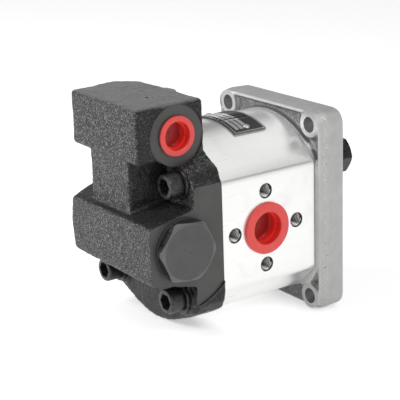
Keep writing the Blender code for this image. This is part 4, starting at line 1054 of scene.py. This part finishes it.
PORT_HOLE_RADIUS = 3.95 * MM
PORT_HOLE_CIRCLE = 20.0 * MM
PORT_HOLE_DEPTH = 13.0 * MM
PORT_THREAD_CREST = 3.25 * MM
SUCTION_BORE_RADIUS = 10.0 * MM
CHAMBER_RADIUS = 18.5 * MM
CHAMBER_HEIGHTS = (0, 2 * MIDDLE_Z)
SCREW_HOLE_RADIUS = 4.5 * MM
LONG_EDGE_RADIUS = 1.6 * MM
ROUND_STEPS = 56


def body_bar():
    """Bar with a round top and bottom and two flat sides."""
    half_flat = math.sqrt(BODY_RADIUS**2 - SIDE_X**2)
    sweep = 2 * math.asin(SIDE_X / BODY_RADIUS)
    bm = bmesh.new()
    for corner in ((-SIDE_X, half_flat), (SIDE_X, -half_flat)):
        add_arc(bm, "Y", (0, MIDDLE_Z), corner, BODY_LOW.y, sweep, ROUND_STEPS)
    return drawn_out(bm, "Y", BODY_HIGH.y - BODY_LOW.y)


def port_hole_places():
    """Centres of the tapped holes round the suction port."""
    centre = section(SUCTION_AXIS, "X")
    return [
        (
            centre[0] + PORT_HOLE_CIRCLE * math.cos(i * math.pi / 2),
            centre[1] + PORT_HOLE_CIRCLE * math.sin(i * math.pi / 2),
        )
        for i in range(4)
    ]


def tapped_tool(centre):
    """Blind drilled hole with a small countersink in the body's side."""
    sink = 0.15 * MM
    profile = [
        (0, SIDE_X - PORT_HOLE_DEPTH - 2 * MM),
        (PORT_HOLE_RADIUS, SIDE_X - PORT_HOLE_DEPTH),
        (PORT_HOLE_RADIUS, SIDE_X - sink),
        (PORT_HOLE_RADIUS + 2 * sink, SIDE_X + sink),
        (0, SIDE_X + sink),
    ]
    return turned("X", centre, profile, 48)


def through_rod(place, radius, steps):
    """Round tool that passes the body from end to end."""
    return rod("Y", place, radius, BODY_LOW.y - MM, BODY_HIGH.y + MM, steps)


def make_body(looks):
    """Extruded body with its port, tapped holes and open chamber."""
    body = loose_object("extruded_body", body_bar())
    round_long_edges(body)
    settle(body)
    for height in CHAMBER_HEIGHTS:
        carve(body, through_rod((0, height), CHAMBER_RADIUS, 96))
    carve(body, rod("X", section(SUCTION_AXIS, "X"), SUCTION_BORE_RADIUS, 0, SIDE_X + MM, 72))
    carve(body, joined(*(tapped_tool(place) for place in port_hole_places())))
    screw_places = [section(middle(f"cap_screw_{corner}"), "Y") for corner in CORNERS]
    carve(body, joined(*(through_rod(place, SCREW_HOLE_RADIUS, 32) for place in screw_places)))
    dress(body, extruded_finish(looks), sawn_finish(looks), bored_finish("bored_wall", looks.bored))
    mark_faces(body, 1, lambda centre, normal: abs(normal.y) > 0.99)
    mark_faces(body, 2, lambda centre, normal: centre.x < SIDE_X - FLATNESS and inside_port(centre))
    smooth(body, 28)
    bevelled(body, 0.18 * MM, 2, 50)
    settle_in(body, "housing", ("pump_body",))


def make_port_threads(looks, pitch):
    """Thread ridges of the four tapped holes."""
    start = SIDE_X - PORT_HOLE_DEPTH + pitch / 2
    turns = int(PORT_HOLE_DEPTH / pitch) - 1
    ridges = [
        helix_ridge("X", place, PORT_HOLE_RADIUS, PORT_THREAD_CREST, pitch, start, turns)
        for place in port_hole_places()
    ]
    threads = finished("port_threads", joined(*ridges), "housing", [thread_finish(looks)])
    weighted(threads, "crest", thread_crest)


def thread_crest(place, normal):
    """One on a crest of the port threads, nought at a root."""
    here = Vector((place.y, place.z))
    away = min((here - Vector(centre)).length for centre in port_hole_places())
    return rise(PORT_HOLE_RADIUS - away, 0, PORT_HOLE_RADIUS - PORT_THREAD_CREST)


def round_long_edges(piece):
    """Round off the four long edges beside the flats."""
    bevel = piece.modifiers.new("long_edges", "BEVEL")
    bevel.width = LONG_EDGE_RADIUS
    bevel.segments = 5
    bevel.limit_method = "WEIGHT"
    weights = piece.data.attributes.new("bevel_weight_edge", "FLOAT", "EDGE")
    for edge in piece.data.edges:
        first, second = (piece.data.vertices[i].co for i in edge.vertices)
        along = abs(first.y - second.y) > MM
        beside = abs(abs(first.x) - SIDE_X) < 0.01 * MM
        weights.data[edge.index].value = 1.0 if along and beside else 0.0


def inside_port(point):
    """True for a point in one of the side's bores."""
    port = (section(SUCTION_AXIS, "X"), SUCTION_BORE_RADIUS + 0.05 * MM)
    holes = [(place, PORT_HOLE_RADIUS + 1.25 * MM) for place in port_hole_places()]
    here = Vector((point.y, point.z))
    return point.x > 0 and any(
        (here - Vector(centre)).length < limit for centre, limit in (port, *holes)
    )


# Flange

FLANGE_HOLES = (71.5 * MM, 96.2 * MM)
FLANGE_HOLE_RADIUS = 4.25 * MM
FLANGE_BOSS_RADIUS = 7.2 * MM
FLANGE_BOSS_FACE = -16.1 * MM
FACER_RADIUS = FLANGE_BOSS_RADIUS + 0.2 * MM
PILOT_RADIUS = 18.25 * MM
SEAL_BORE_RADIUS = 15.0 * MM
SEAL_BORE_FLOOR = -3.5 * MM
PARTING_Y = -12.2 * MM
RECESS_ZONE = (-14.6 * MM, -3.0 * MM)
PAD_REACH = 52.0 * MM
RIM_WIDTH = 4.0 * MM


def flange_hole_places():
    """Centres of the mounting holes, as x and z."""
    return [
        (side * FLANGE_HOLES[0] / 2, MIDDLE_Z + height * FLANGE_HOLES[1] / 2)
        for height in (1, -1)
        for side in (1, -1)
    ]


def at_flange_holes(radius, start, end, steps):
    """Round tools about the four mounting holes, between two stations."""
    return joined(*(rod("Y", place, radius, start, end, steps) for place in flange_hole_places()))


def flange_blank(looks):
    """Die-cast blank of the flange, with stock on its front and its bosses."""
    solid = merged_copy("front_flange")
    face_stock = shared_part(moved_copy(solid, (0, STOCK, 0)), beyond_joint(-2 * STOCK))
    start, end = FLANGE_BOSS_FACE - 2 * STOCK, FLANGE_BOSS_FACE + 2 * STOCK
    boss_zone = at_flange_holes(FLANGE_BOSS_RADIUS, start, end, 48)
    boss_stock = shared_part(moved_copy(solid, (0, -STOCK, 0)), boss_zone)
    parts = (solid, face_stock, boss_stock)
    reliefs = ((5 * MM, looks.ripple),)
    return rough_blank("die_cast_flange", parts, looks.voxel, looks.softness, reliefs)


def machine_flange(flange):
    """Face the front, turn the pilot, bore for the seal, drill and spot-face the holes."""
    facing = [
        (PILOT_RADIUS, 0),
        (2 * FLANGE_HIGH.z, 0),
        (2 * FLANGE_HIGH.z, 4 * FLANGE_HIGH.y),
        (PILOT_RADIUS, 4 * FLANGE_HIGH.y),
    ]
    carve(flange, turned("Y", (0, 0), facing, 128, ring=True))
    carve(flange, beyond_joint(FLANGE_HIGH.y))
    bore = [
        (0, SEAL_BORE_FLOOR),
        (SEAL_BORE_RADIUS, SEAL_BORE_FLOOR),
        (SEAL_BORE_RADIUS, FLANGE_HIGH.y - 0.6 * MM),
        (SEAL_BORE_RADIUS + 1.2 * MM, FLANGE_HIGH.y + 0.6 * MM),
        (0, FLANGE_HIGH.y + 0.6 * MM),
    ]
    carve(flange, turned("Y", (0, 0), bore, 96))
    carve(flange, at_flange_holes(FLANGE_HOLE_RADIUS, FLANGE_LOW.y - STOCK, STOCK, 48))
    carve(flange, at_flange_holes(FACER_RADIUS, FLANGE_BOSS_FACE - 4 * STOCK, FLANGE_BOSS_FACE, 64))


def make_flange(looks):
    """Die-cast flange with soft edges, machined where it meets other parts."""
    flange = flange_blank(looks)
    machine_flange(flange)
    dress(
        flange,
        die_cast_finish(looks),
        faced_alloy_finish("faced_alloy", looks.machined),
        bored_finish("shaded_drilled_wall", looks.drilled),
        faced_alloy_finish("spot_face", looks.shaded_spot_faces),
    )
    # Weight of painted shade for the recess, the pads' sides and the top.
    weighted(flange, "hollow", painted_recess_shade)
    for station in (0, FLANGE_HIGH.y):
        mark_faces(flange, 1, on_plane("Y", station, 0.99))
    # Painted shade: the spot faces take the darker copy of the faced finish.
    mark_faces(flange, 3, on_plane("Y", FLANGE_BOSS_FACE, 0.99, way=-1))
    mark_faces(flange, 1, lambda centre, normal: centre.y > FLATNESS)
    # Painted shade on the walls of the mounting holes.
    mark_faces(flange, 2, near_flange_hole)
    smooth(flange, 36)
    settle_in(flange, "housing", ("front_flange",))


def painted_recess_shade(place, normal):
    """How much painted shade the flange gets: full on the recess floor and the pads' outer sides, less on
    faces that look upwards.
    """
    inside = RECESS_ZONE[0] < place.y < RECESS_ZONE[1]
    away = Vector((place.x, place.z - MIDDLE_Z))
    outward = Vector((normal.x, normal.z)).dot(away.normalized())
    inner = abs(place.x) < FLANGE_HIGH.x - RIM_WIDTH
    pad = inner and place.y < RECESS_ZONE[1] and away.length < PAD_REACH
    return max(
        rise(-normal.y, 0.5, 0.9) if inside else 0,
        rise(outward, 0.2, 0.6) if pad else 0,
        0.42 * rise(normal.z, 0.7, 0.95),
    )


def near_flange_hole(centre, normal):
    """True on the wall of a mounting hole."""
    here = Vector((centre.x, centre.z))
    return abs(normal.y) < 0.3 and any(
        abs((here - Vector(place)).length - FLANGE_HOLE_RADIUS) < 0.06 * MM
        for place in flange_hole_places()
    )


# Screws

HEAD_RADIUS = 6.5 * MM
HEAD_HEIGHT = 8.0 * MM
SHANK_RADIUS = 4.0 * MM
SOCKET_FLATS = 8.0 * MM
SOCKET_DEPTH = 5.0 * MM
KNURL_DEPTH = 0.22 * MM


def screw_blank(centre, top, tip, knurls):
    """Turned screw with two steps round its head for each ridge of the knurling."""
    under = top + HEAD_HEIGHT
    profile = [
        (0, top),
        (HEAD_RADIUS - 1.0 * MM, top),
        (HEAD_RADIUS - 0.35 * MM, top + 0.2 * MM),
        (HEAD_RADIUS - 0.1 * MM, top + 0.8 * MM),
        (HEAD_RADIUS, top + 1.2 * MM),
        (HEAD_RADIUS, under - 0.5 * MM),
        (HEAD_RADIUS - 0.25 * MM, under),
        (SHANK_RADIUS, under),
        (SHANK_RADIUS, tip - MM),
        (SHANK_RADIUS - MM, tip),
        (0, tip),
    ]
    return turned("Y", centre, profile, 2 * knurls)


def knurl(bm, centre, under, knurls):
    """Press every second row of the head's rim inwards."""
    axis_point = Vector((centre[0], 0, centre[1]))
    for vert in bm.verts:
        away = Vector((vert.co.x, 0, vert.co.z)) - axis_point
        on_rim = away.length > HEAD_RADIUS - 0.01 * MM and vert.co.y < under
        step = round(math.atan2(away.z, away.x) / math.tau * 2 * knurls)
        if on_rim and step % 2:
            vert.co -= away.normalized() * KNURL_DEPTH


def make_screw(corner, looks, material):
    """Socket head screw with a knurled head."""
    low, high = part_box(f"cap_screw_{corner}")
    centre = section(middle(f"cap_screw_{corner}"), "Y")
    top, tip = low[1], high[1]
    bm = screw_blank(centre, top, tip, looks.knurls)
    knurl(bm, centre, top + HEAD_HEIGHT, looks.knurls)
    screw = loose_object(f"socket_screw_{corner}", bm)
    carve(screw, hexagonal_bar("Y", centre, SOCKET_FLATS, top - MM, top + SOCKET_DEPTH))
    dress(screw, material)
    smooth(screw, 30)
    settle_in(screw, "housing", (f"cap_screw_{corner}",))


def make_lock_washer(corner, material):
    """Washer pair under a screw head: two thin rings with a groove between."""
    node = f"screw_washer_{corner}"
    low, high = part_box(node)
    start, end = low[1], high[1]
    half = (start + end) / 2
    outer = reach(node).x / 2
    groove = 0.12 * MM
    bore = SHANK_RADIUS + GAP
    profile = [
        (bore, start),
        (outer - 0.25 * MM, start),
        (outer, start + 0.25 * MM),
        (outer, half - groove),
        (outer - 0.5 * MM, half),
        (outer, half + groove),
        (outer, end - 0.25 * MM),
        (outer - 0.25 * MM, end),
        (bore, end),
    ]
    washer = turned("Y", section(middle(node), "Y"), profile, 64, ring=True)
    finished(f"lock_washer_{corner}", washer, "housing", [material], (node,))


# Valve plug

PLUG_FLATS = 30.0 * MM
PLUG_TURN = math.radians(-6)
PLUG_CHAMFER_RADIUS = 14.45 * MM
PLUG_BAR_RADIUS = 16.8 * MM
PLUG_THREAD_RADIUS = 10.9 * MM
DIMPLE_RADIUS = 0.7 * MM


def make_valve_plug(looks):
    """Hexagon plug with a turned chamfer and a faint dimple."""
    low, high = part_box("valve_plug")
    centre = section(VALVE_AXIS, "X")
    face = high[0]
    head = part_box("valve_plug_ring")[1][0] + GAP
    drop = (PLUG_BAR_RADIUS - PLUG_CHAMFER_RADIUS) * math.tan(math.radians(30))
    form = [
        (0, low[0]),
        (PLUG_THREAD_RADIUS - 0.8 * MM, low[0]),
        (PLUG_THREAD_RADIUS, low[0] + 0.8 * MM),
        (PLUG_THREAD_RADIUS, head),
        (PLUG_BAR_RADIUS, head),
        (PLUG_BAR_RADIUS, face - drop),
        (PLUG_CHAMFER_RADIUS, face),
        (DIMPLE_RADIUS, face),
        (0, face - 0.5 * MM),
    ]
    plug = loose_object("hexagon_plug", turned("X", centre, form, 120))
    bar = hexagonal_bar("X", centre, PLUG_FLATS, low[0] - MM, face + MM, PLUG_TURN)
    carve(plug, bar, "INTERSECT")
    dress(plug, phosphate_finish(looks), oxide_finish(looks))
    mark_faces(plug, 1, lambda centre, normal: normal.x < 0.3)
    smooth(plug, 20)
    bevelled(plug, 0.15 * MM, 2, 25)
    settle_in(plug, "housing", ("valve_plug",))


def make_plug_ring(material):
    """Sealing ring under the hexagon plug, with rounded edges."""
    node = "valve_plug_ring"
    low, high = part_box(node)
    outer = reach(node).y / 2
    bore = PLUG_THREAD_RADIUS + GAP
    profile = [
        (bore, low[0]),
        (outer - 0.3 * MM, low[0]),
        (outer, low[0] + 0.3 * MM),
        (outer, high[0] - 0.3 * MM),
        (outer - 0.3 * MM, high[0]),
        (bore, high[0]),
    ]
    ring = turned("X", section(VALVE_AXIS, "X"), profile, 96, ring=True)
    finished("plug_sealing_ring", ring, "housing", [material], (node,))


# Transport plugs

SUCTION_CAP = {"mouth": 8.7 * MM, "lip": 13.8 * MM, "bore": 9.7 * MM}
DELIVERY_CAP = {"mouth": 7.3 * MM, "lip": 10.25 * MM, "bore": 8.2 * MM}


def make_transport_plug(name, node, body, finishes, mouth, lip, bore):
    """Moulded plug: rounded lip, stepped hollow cup and a gate mark on its floor."""
    low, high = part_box(node)
    centre = section(middle(node), "X")
    face = high[0]
    back = face - PORT_LIP
    floor = low[0] + 1.5 * MM
    shelf = (face + floor) / 2
    profile = [
        (0, low[0]),
        (bore - 1.0 * MM, low[0]),
        (bore - 0.3 * MM, low[0] + 0.9 * MM),
        (bore, back),
        (lip - 0.3 * MM, back),
        (lip, back + 0.3 * MM),
        (lip, face - 0.45 * MM),
        (lip - 0.15 * MM, face - 0.15 * MM),
        (lip - 0.5 * MM, face),
        (mouth + 0.4 * MM, face),
        (mouth + 0.05 * MM, face - 0.25 * MM),
        (mouth, face - 0.7 * MM),
        (mouth - 0.15 * MM, shelf),
        (mouth - 0.75 * MM, shelf - 0.1 * MM),
        (mouth - 0.9 * MM, floor + 0.5 * MM),
        (mouth - 1.4 * MM, floor),
        (1.1 * MM, floor),
        (1.0 * MM, floor + 0.35 * MM),
        (0, floor + 0.4 * MM),
    ]
    plug = finished(name, turned("X", centre, profile, 96), body, finishes, (node,))
    # Painted shade inside the cup: the wall's faces take the second red, the floor's the darkest.
    for index, station in ((1, face - 0.6 * MM), (2, floor + 0.6 * MM)):
        mark_faces(plug, index, inside_cup(centre, mouth, station))


def inside_cup(centre, mouth, station):
    """Test for faces inside a cup and below a station."""
    def test(place, normal):
        away = Vector((place.y, place.z)) - Vector(centre)
        return place.x < station and away.length <= mouth + 0.01 * MM
    return test


# Shaft end

THREAD_PITCH = 1.5 * MM
THREAD_ROOT = 5.95 * MM
THREAD_CREST = 6.28 * MM
THREAD_RUN_IN = 0.7 * MM
THREAD_RUN_OUT = 0.6 * MM


def make_shaft_end(steel, oxide, rubber):
    """Shaft, key, nut and lock washer, the seal and its snap ring."""
    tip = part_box("drive_gear")[1][1]
    nut_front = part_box("drive_nut")[1][1]
    refined("drive_shaft", "drive_gear", "drive_train", steel)
    start = nut_front + THREAD_RUN_IN
    turns = max(1, int((tip - nut_front - THREAD_RUN_OUT) / THREAD_PITCH))
    ridge = helix_ridge("Y", (0, 0), THREAD_ROOT, THREAD_CREST, THREAD_PITCH, start, turns)
    finished("stud_thread", ridge, "drive_train", [steel])
    refined("shaft_key", "drive_key", "drive_train", steel)
    refined("shaft_lock_washer", "drive_washer", "drive_train", oxide)
    refined("shaft_nut", "drive_nut", "drive_train", oxide)
    refined("lip_seal", "shaft_seal", "housing", rubber)
    refined("seal_snap_ring", "snap_ring", "housing", oxide)


def refined(name, node, body, material):
    """A CAD node's own shape with its triangles joined and shaded round."""
    bm = merged_copy(node)
    bmesh.ops.dissolve_limit(
        bm, angle_limit=math.radians(0.2), verts=bm.verts, edges=bm.edges, delimit={"SHARP"}
    )
    return finished(name, bm, body, [material], (node,))


# Name plate

PLATE_THICKNESS = 0.8 * MM
PLATE_STEPS = 48
PIN_RADIUS = 1.0 * MM
PIN_DEPTH = 3 * MM
PIN_HEAD_RADIUS = 2.0 * MM
PIN_HEAD_HEIGHT = 0.75 * MM
DOME_STEPS = 6


def make_name_plate(looks, pin_material):
    """Foil plate bent over the body, held by two domed pins."""
    low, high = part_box("name_plate")
    outer = high[2] - MIDDLE_Z
    half_angle = math.asin(high[0] / outer)
    bm = bmesh.new()
    for radius, way in ((outer, 1), (outer - PLATE_THICKNESS, -1)):
        for step in range(PLATE_STEPS + 1):
            angle = math.pi / 2 + way * half_angle * (2 * step / PLATE_STEPS - 1)
            point = (radius * math.cos(angle), MIDDLE_Z + radius * math.sin(angle))
            bm.verts.new(spot("Y", (0, 0), point, low[1]))
    plate = drawn_out(bm, "Y", high[1] - low[1])
    material = printed_plate_finish(looks)
    finished("foil_plate", plate, "housing", [material], ("name_plate",))
    for side in ("left", "right"):
        make_plate_pin(side, pin_material)


def make_plate_pin(side, material):
    """Domed drive pin, standing square to the bent plate."""
    node = f"plate_pin_{side}"
    low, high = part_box(node)
    head_y = (low[1] + high[1]) / 2
    plate_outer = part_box("name_plate")[1][2] - MIDDLE_Z
    head = plate_outer + 0.1 * MM
    across = high[0] if side == "right" else low[0]
    angle = math.asin((abs(across) - PIN_HEAD_RADIUS) / plate_outer)
    angle = angle if side == "right" else -angle
    tip = head - PIN_DEPTH
    profile = [(0, tip), (PIN_RADIUS, tip), (PIN_RADIUS, head), (PIN_HEAD_RADIUS, head)]
    for step in range(1, DOME_STEPS + 1):
        climb = step / DOME_STEPS * math.pi / 2
        profile.append((PIN_HEAD_RADIUS * math.cos(climb), head + PIN_HEAD_HEIGHT * math.sin(climb)))
    bm = turned("Z", (0, head_y), profile, 32)
    lean = Matrix.Translation((0, 0, MIDDLE_Z)) @ Matrix.Rotation(angle, 4, "Y")
    bmesh.ops.transform(bm, matrix=lean, verts=bm.verts)
    finished(f"drive_pin_{side}", bm, "housing", [material], (node,))


# Pieces inside


def make_inner_pieces(looks, steel, rubber):
    """Driven gear, bearings, seals, dowels and the valve's spool and spring."""
    alloy = bearing_finish("bearing_alloy", looks.bearing, 0.4 * MM)
    bronze = bearing_finish("bearing_bronze", looks.bronze, 0.3 * MM)
    refined("driven_wheel", "driven_gear", "driven_train", steel)
    refined("valve_spool", "priority_spool", "spool", steel)
    spring = refined("valve_spring", "spool_spring", "housing", steel)
    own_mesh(spring)
    for side in ("front", "rear"):
        refined(f"bearing_{side}", f"bearing_block_{side}", "housing", alloy)
        refined(f"pressure_seal_{side}", f"balance_seal_{side}", "housing", rubber)
        refined(f"joint_seal_{side}", f"body_seal_{side}", "housing", rubber)
        for shaft in ("drive", "driven"):
            name = f"bush_{shaft}_{side}"
            refined(f"sleeve_{shaft}_{side}", name, "housing", bronze)
        for hand in ("left", "right"):
            refined(f"pin_{side}_{hand}", f"dowel_{side}_{hand}", "housing", steel)


# Stage

SENSOR_WIDTH = 36
NEAREST, FARTHEST = 0.01, 20
FLOOR_REACH = 4
FLANGE_FOOT = 3.5 * MM
COVER_FOOT = 15 * MM
TENT_CLOTH = (0.8, 0.8, 0.8, 1)
TENT_BAND_ENDS = (0.24, 0.38, 0.56, 0.76)


def make_camera(looks):
    """Camera at the photograph's angle, turned by its small roll."""
    eye, aim = Vector(looks.eye), Vector(looks.aim)
    back = (eye - aim).normalized()
    right = AXES["Z"].cross(back).normalized()
    up = back.cross(right)
    turned_right = math.cos(looks.roll) * right + math.sin(looks.roll) * up
    turned_up = math.cos(looks.roll) * up - math.sin(looks.roll) * right
    facing = Matrix((turned_right, turned_up, back)).transposed().to_4x4()
    data = bpy.data.cameras.new("camera")
    data.lens = looks.lens
    data.sensor_width = SENSOR_WIDTH
    data.clip_start = NEAREST
    data.clip_end = FARTHEST
    camera = bpy.data.objects.new("camera", data)
    camera.matrix_world = Matrix.Translation(eye) @ facing
    bpy.context.scene.collection.objects.link(camera)
    bpy.context.scene.camera = camera


def resting_floor():
    """Height and tilt of the floor that touches flange and cover from below."""
    flange_corner = Vector((0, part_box("front_flange")[0][1] + FLANGE_FOOT, FLANGE_LOW.z))
    cover_corner = Vector((0, JOINT_Y - COVER_FOOT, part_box("rear_cover")[0][2]))
    run = flange_corner - cover_corner
    return flange_corner, math.atan2(run.z, run.y)


def make_floor(looks):
    """Pale floor under the pump as it leans on its flange and its cover."""
    corner, tilt = resting_floor()
    bm = bmesh.new()
    bmesh.ops.create_grid(bm, x_segments=2, y_segments=2, size=FLOOR_REACH)
    lean = Matrix.Translation(corner) @ Matrix.Rotation(tilt, 4, "X")
    bmesh.ops.transform(bm, matrix=lean, verts=bm.verts)
    floor = loose_object("floor", bm)
    floor.data.materials.append(floor_finish(looks))


def area_light(name, place, size, power, target):
    """Soft square lamp that faces a target."""
    data = bpy.data.lights.new(name, "AREA")
    data.shape = "SQUARE"
    data.size = size
    data.energy = power
    lamp = bpy.data.objects.new(name, data)
    lamp.location = place
    lamp.rotation_mode = "QUATERNION"
    lamp.rotation_quaternion = (target - place).to_track_quat("-Z", "Y")
    bpy.context.scene.collection.objects.link(lamp)


def make_tent(looks):
    """White light tent with a grey band under its roof, brighter above than below."""
    world = bpy.data.worlds.new("tent")
    bpy.context.scene.world = world
    world.use_nodes = True
    world.node_tree.nodes.clear()
    tent = Graph(world.node_tree)
    way = tent.node("ShaderNodeTexCoord", {}, {}, output="Generated")
    height = tent.node("ShaderNodeSeparateXYZ", {}, {0: way}, output="Z")
    white, grey = (1, 1, 1), 3 * (looks.tent_band,)
    stops = tuple(zip(TENT_BAND_ENDS, (white, grey, grey, white)))
    wall = tent.node("ShaderNodeValToRGB", {"stops": stops}, {"Fac": height})
    seen = tent.node("ShaderNodeBackground", {}, {"Color": wall, "Strength": 1.0})
    level = looks.tent_bottom + (looks.tent_top - looks.tent_bottom) * (0.5 + 0.5 * height)
    lit = tent.node("ShaderNodeBackground", {}, {"Color": TENT_CLOTH, "Strength": level})
    mixed = tent.node("ShaderNodeMixShader", {}, {0: tent.shown(), 1: lit, 2: seen})
    tent.node("ShaderNodeOutputWorld", {}, {"Surface": mixed}, output=None)


def make_stage(looks):
    """Camera, floor, tent and two lamps."""
    make_camera(looks)
    make_floor(looks)
    make_tent(looks)
    aim = Vector(looks.aim)
    area_light("key", aim + Vector(looks.key_place), looks.key_size, looks.key_power, aim)
    area_light("side", aim + Vector(looks.side_place), looks.side_size, looks.side_power, aim)
    bpy.context.scene.view_settings.view_transform = "Standard"


# Operators

class PumpOperator:
    """Common ground of the pump's operators."""

    bl_options = {"REGISTER", "UNDO"}


class PUMP_OT_cast_cover(PumpOperator, Operator):
    """Cast, mill and paint the rear cover"""

    bl_idname = "pump.cast_cover"
    bl_label = "Rear cover"

    def execute(self, context):
        make_cast_cover(context.scene.pump_looks.casting)
        return {"FINISHED"}


class PUMP_OT_body(PumpOperator, Operator):
    """Extrude the body, bore its port and cut the port's threads"""

    bl_idname = "pump.body"
    bl_label = "Body"

    def execute(self, context):
        looks = context.scene.pump_looks
        make_body(looks.alloy)
        make_port_threads(looks.alloy, looks.steel.thread_pitch)
        return {"FINISHED"}


class PUMP_OT_flange(PumpOperator, Operator):
    """Die-cast the flange, then face, turn and drill it"""

    bl_idname = "pump.flange"
    bl_label = "Front flange"

    def execute(self, context):
        make_flange(context.scene.pump_looks.alloy)
        return {"FINISHED"}


class PUMP_OT_screws(PumpOperator, Operator):
    """Make the four socket head screws and their washers"""

    bl_idname = "pump.screws"
    bl_label = "Cap screws"

    def execute(self, context):
        looks = context.scene.pump_looks.steel
        material = oxide_finish(looks)
        for corner in CORNERS:
            make_screw(corner, looks, material)
            make_lock_washer(corner, material)
        return {"FINISHED"}


class PUMP_OT_valve_plug(PumpOperator, Operator):
    """Turn the hexagon plug and its sealing ring"""

    bl_idname = "pump.valve_plug"
    bl_label = "Valve plug"

    def execute(self, context):
        looks = context.scene.pump_looks
        make_valve_plug(looks.steel)
        make_plug_ring(rubber_finish(looks.plastic))
        return {"FINISHED"}


class PUMP_OT_transport_plugs(PumpOperator, Operator):
    """Mould the two transport plugs"""

    bl_idname = "pump.transport_plugs"
    bl_label = "Transport plugs"

    def execute(self, context):
        looks = context.scene.pump_looks.plastic
        reds = [
            moulded_red_finish("red_moulding", looks.red),
            moulded_red_finish("shaded_red_cup_wall", looks.shaded_cup_red),
            moulded_red_finish("shaded_red_floor", looks.shaded_floor_red),
        ]
        make_transport_plug("suction_cap", "suction_plug", "suction_cap", reds, **SUCTION_CAP)
        make_transport_plug("delivery_cap", "delivery_plug", "delivery_cap", reds, **DELIVERY_CAP)
        return {"FINISHED"}


class PUMP_OT_shaft_end(PumpOperator, Operator):
    """Finish the shaft, key, nut, washer, seal and snap ring"""

    bl_idname = "pump.shaft_end"
    bl_label = "Shaft end"

    def execute(self, context):
        looks = context.scene.pump_looks
        make_shaft_end(
            ground_steel_finish(looks.steel), oxide_finish(looks.steel), rubber_finish(looks.plastic)
        )
        return {"FINISHED"}


class PUMP_OT_name_plate(PumpOperator, Operator):
    """Print and pin the blank name plate"""

    bl_idname = "pump.name_plate"
    bl_label = "Name plate"

    def execute(self, context):
        looks = context.scene.pump_looks
        make_name_plate(looks.plate, ground_steel_finish(looks.steel))
        return {"FINISHED"}


class PUMP_OT_inner_pieces(PumpOperator, Operator):
    """Finish the driven gear, bearings, seals, dowels, spool and spring"""

    bl_idname = "pump.inner_pieces"
    bl_label = "Inner pieces"

    def execute(self, context):
        looks = context.scene.pump_looks
        steel, rubber = ground_steel_finish(looks.steel), rubber_finish(looks.plastic)
        make_inner_pieces(looks.steel, steel, rubber)
        return {"FINISHED"}


class PUMP_OT_stage(PumpOperator, Operator):
    """Set up the camera, the pale floor and the soft light"""

    bl_idname = "pump.stage"
    bl_label = "Stage"

    def execute(self, context):
        make_stage(context.scene.pump_looks.stage)
        return {"FINISHED"}


STEPS = (
    PUMP_OT_cast_cover,
    PUMP_OT_body,
    PUMP_OT_flange,
    PUMP_OT_screws,
    PUMP_OT_valve_plug,
    PUMP_OT_transport_plugs,
    PUMP_OT_shaft_end,
    PUMP_OT_name_plate,
    PUMP_OT_inner_pieces,
    PUMP_OT_stage,
)


class PUMP_PT_panel(Panel):
    """Buttons for each group of pieces, and their settings."""

    bl_label = "Gear pump"
    bl_idname = "PUMP_PT_panel"
    bl_space_type = "VIEW_3D"
    bl_region_type = "UI"
    bl_category = "Gear pump"

    def draw(self, context):
        for step in STEPS:
            self.layout.operator(step.bl_idname)
        for group in LOOKS:
            box = self.layout.box()
            looks = getattr(context.scene.pump_looks, group)
            for name in looks.__annotations__:
                box.prop(looks, name)


CLASSES = (*LOOKS.values(), PumpLooks, *STEPS, PUMP_PT_panel)


def register():
    """Add the classes and the scene's settings."""
    for made in CLASSES:
        bpy.utils.register_class(made)
    bpy.types.Scene.pump_looks = PointerProperty(type=PumpLooks)


def unregister():
    """Take the settings and the classes away again."""
    del bpy.types.Scene.pump_looks
    for made in reversed(CLASSES):
        bpy.utils.unregister_class(made)


def main():
    """Make every piece in order."""
    register()
    for step in STEPS:
        group, name = step.bl_idname.split(".")
        getattr(getattr(bpy.ops, group), name)()


if __name__ == "__main__":
    main()
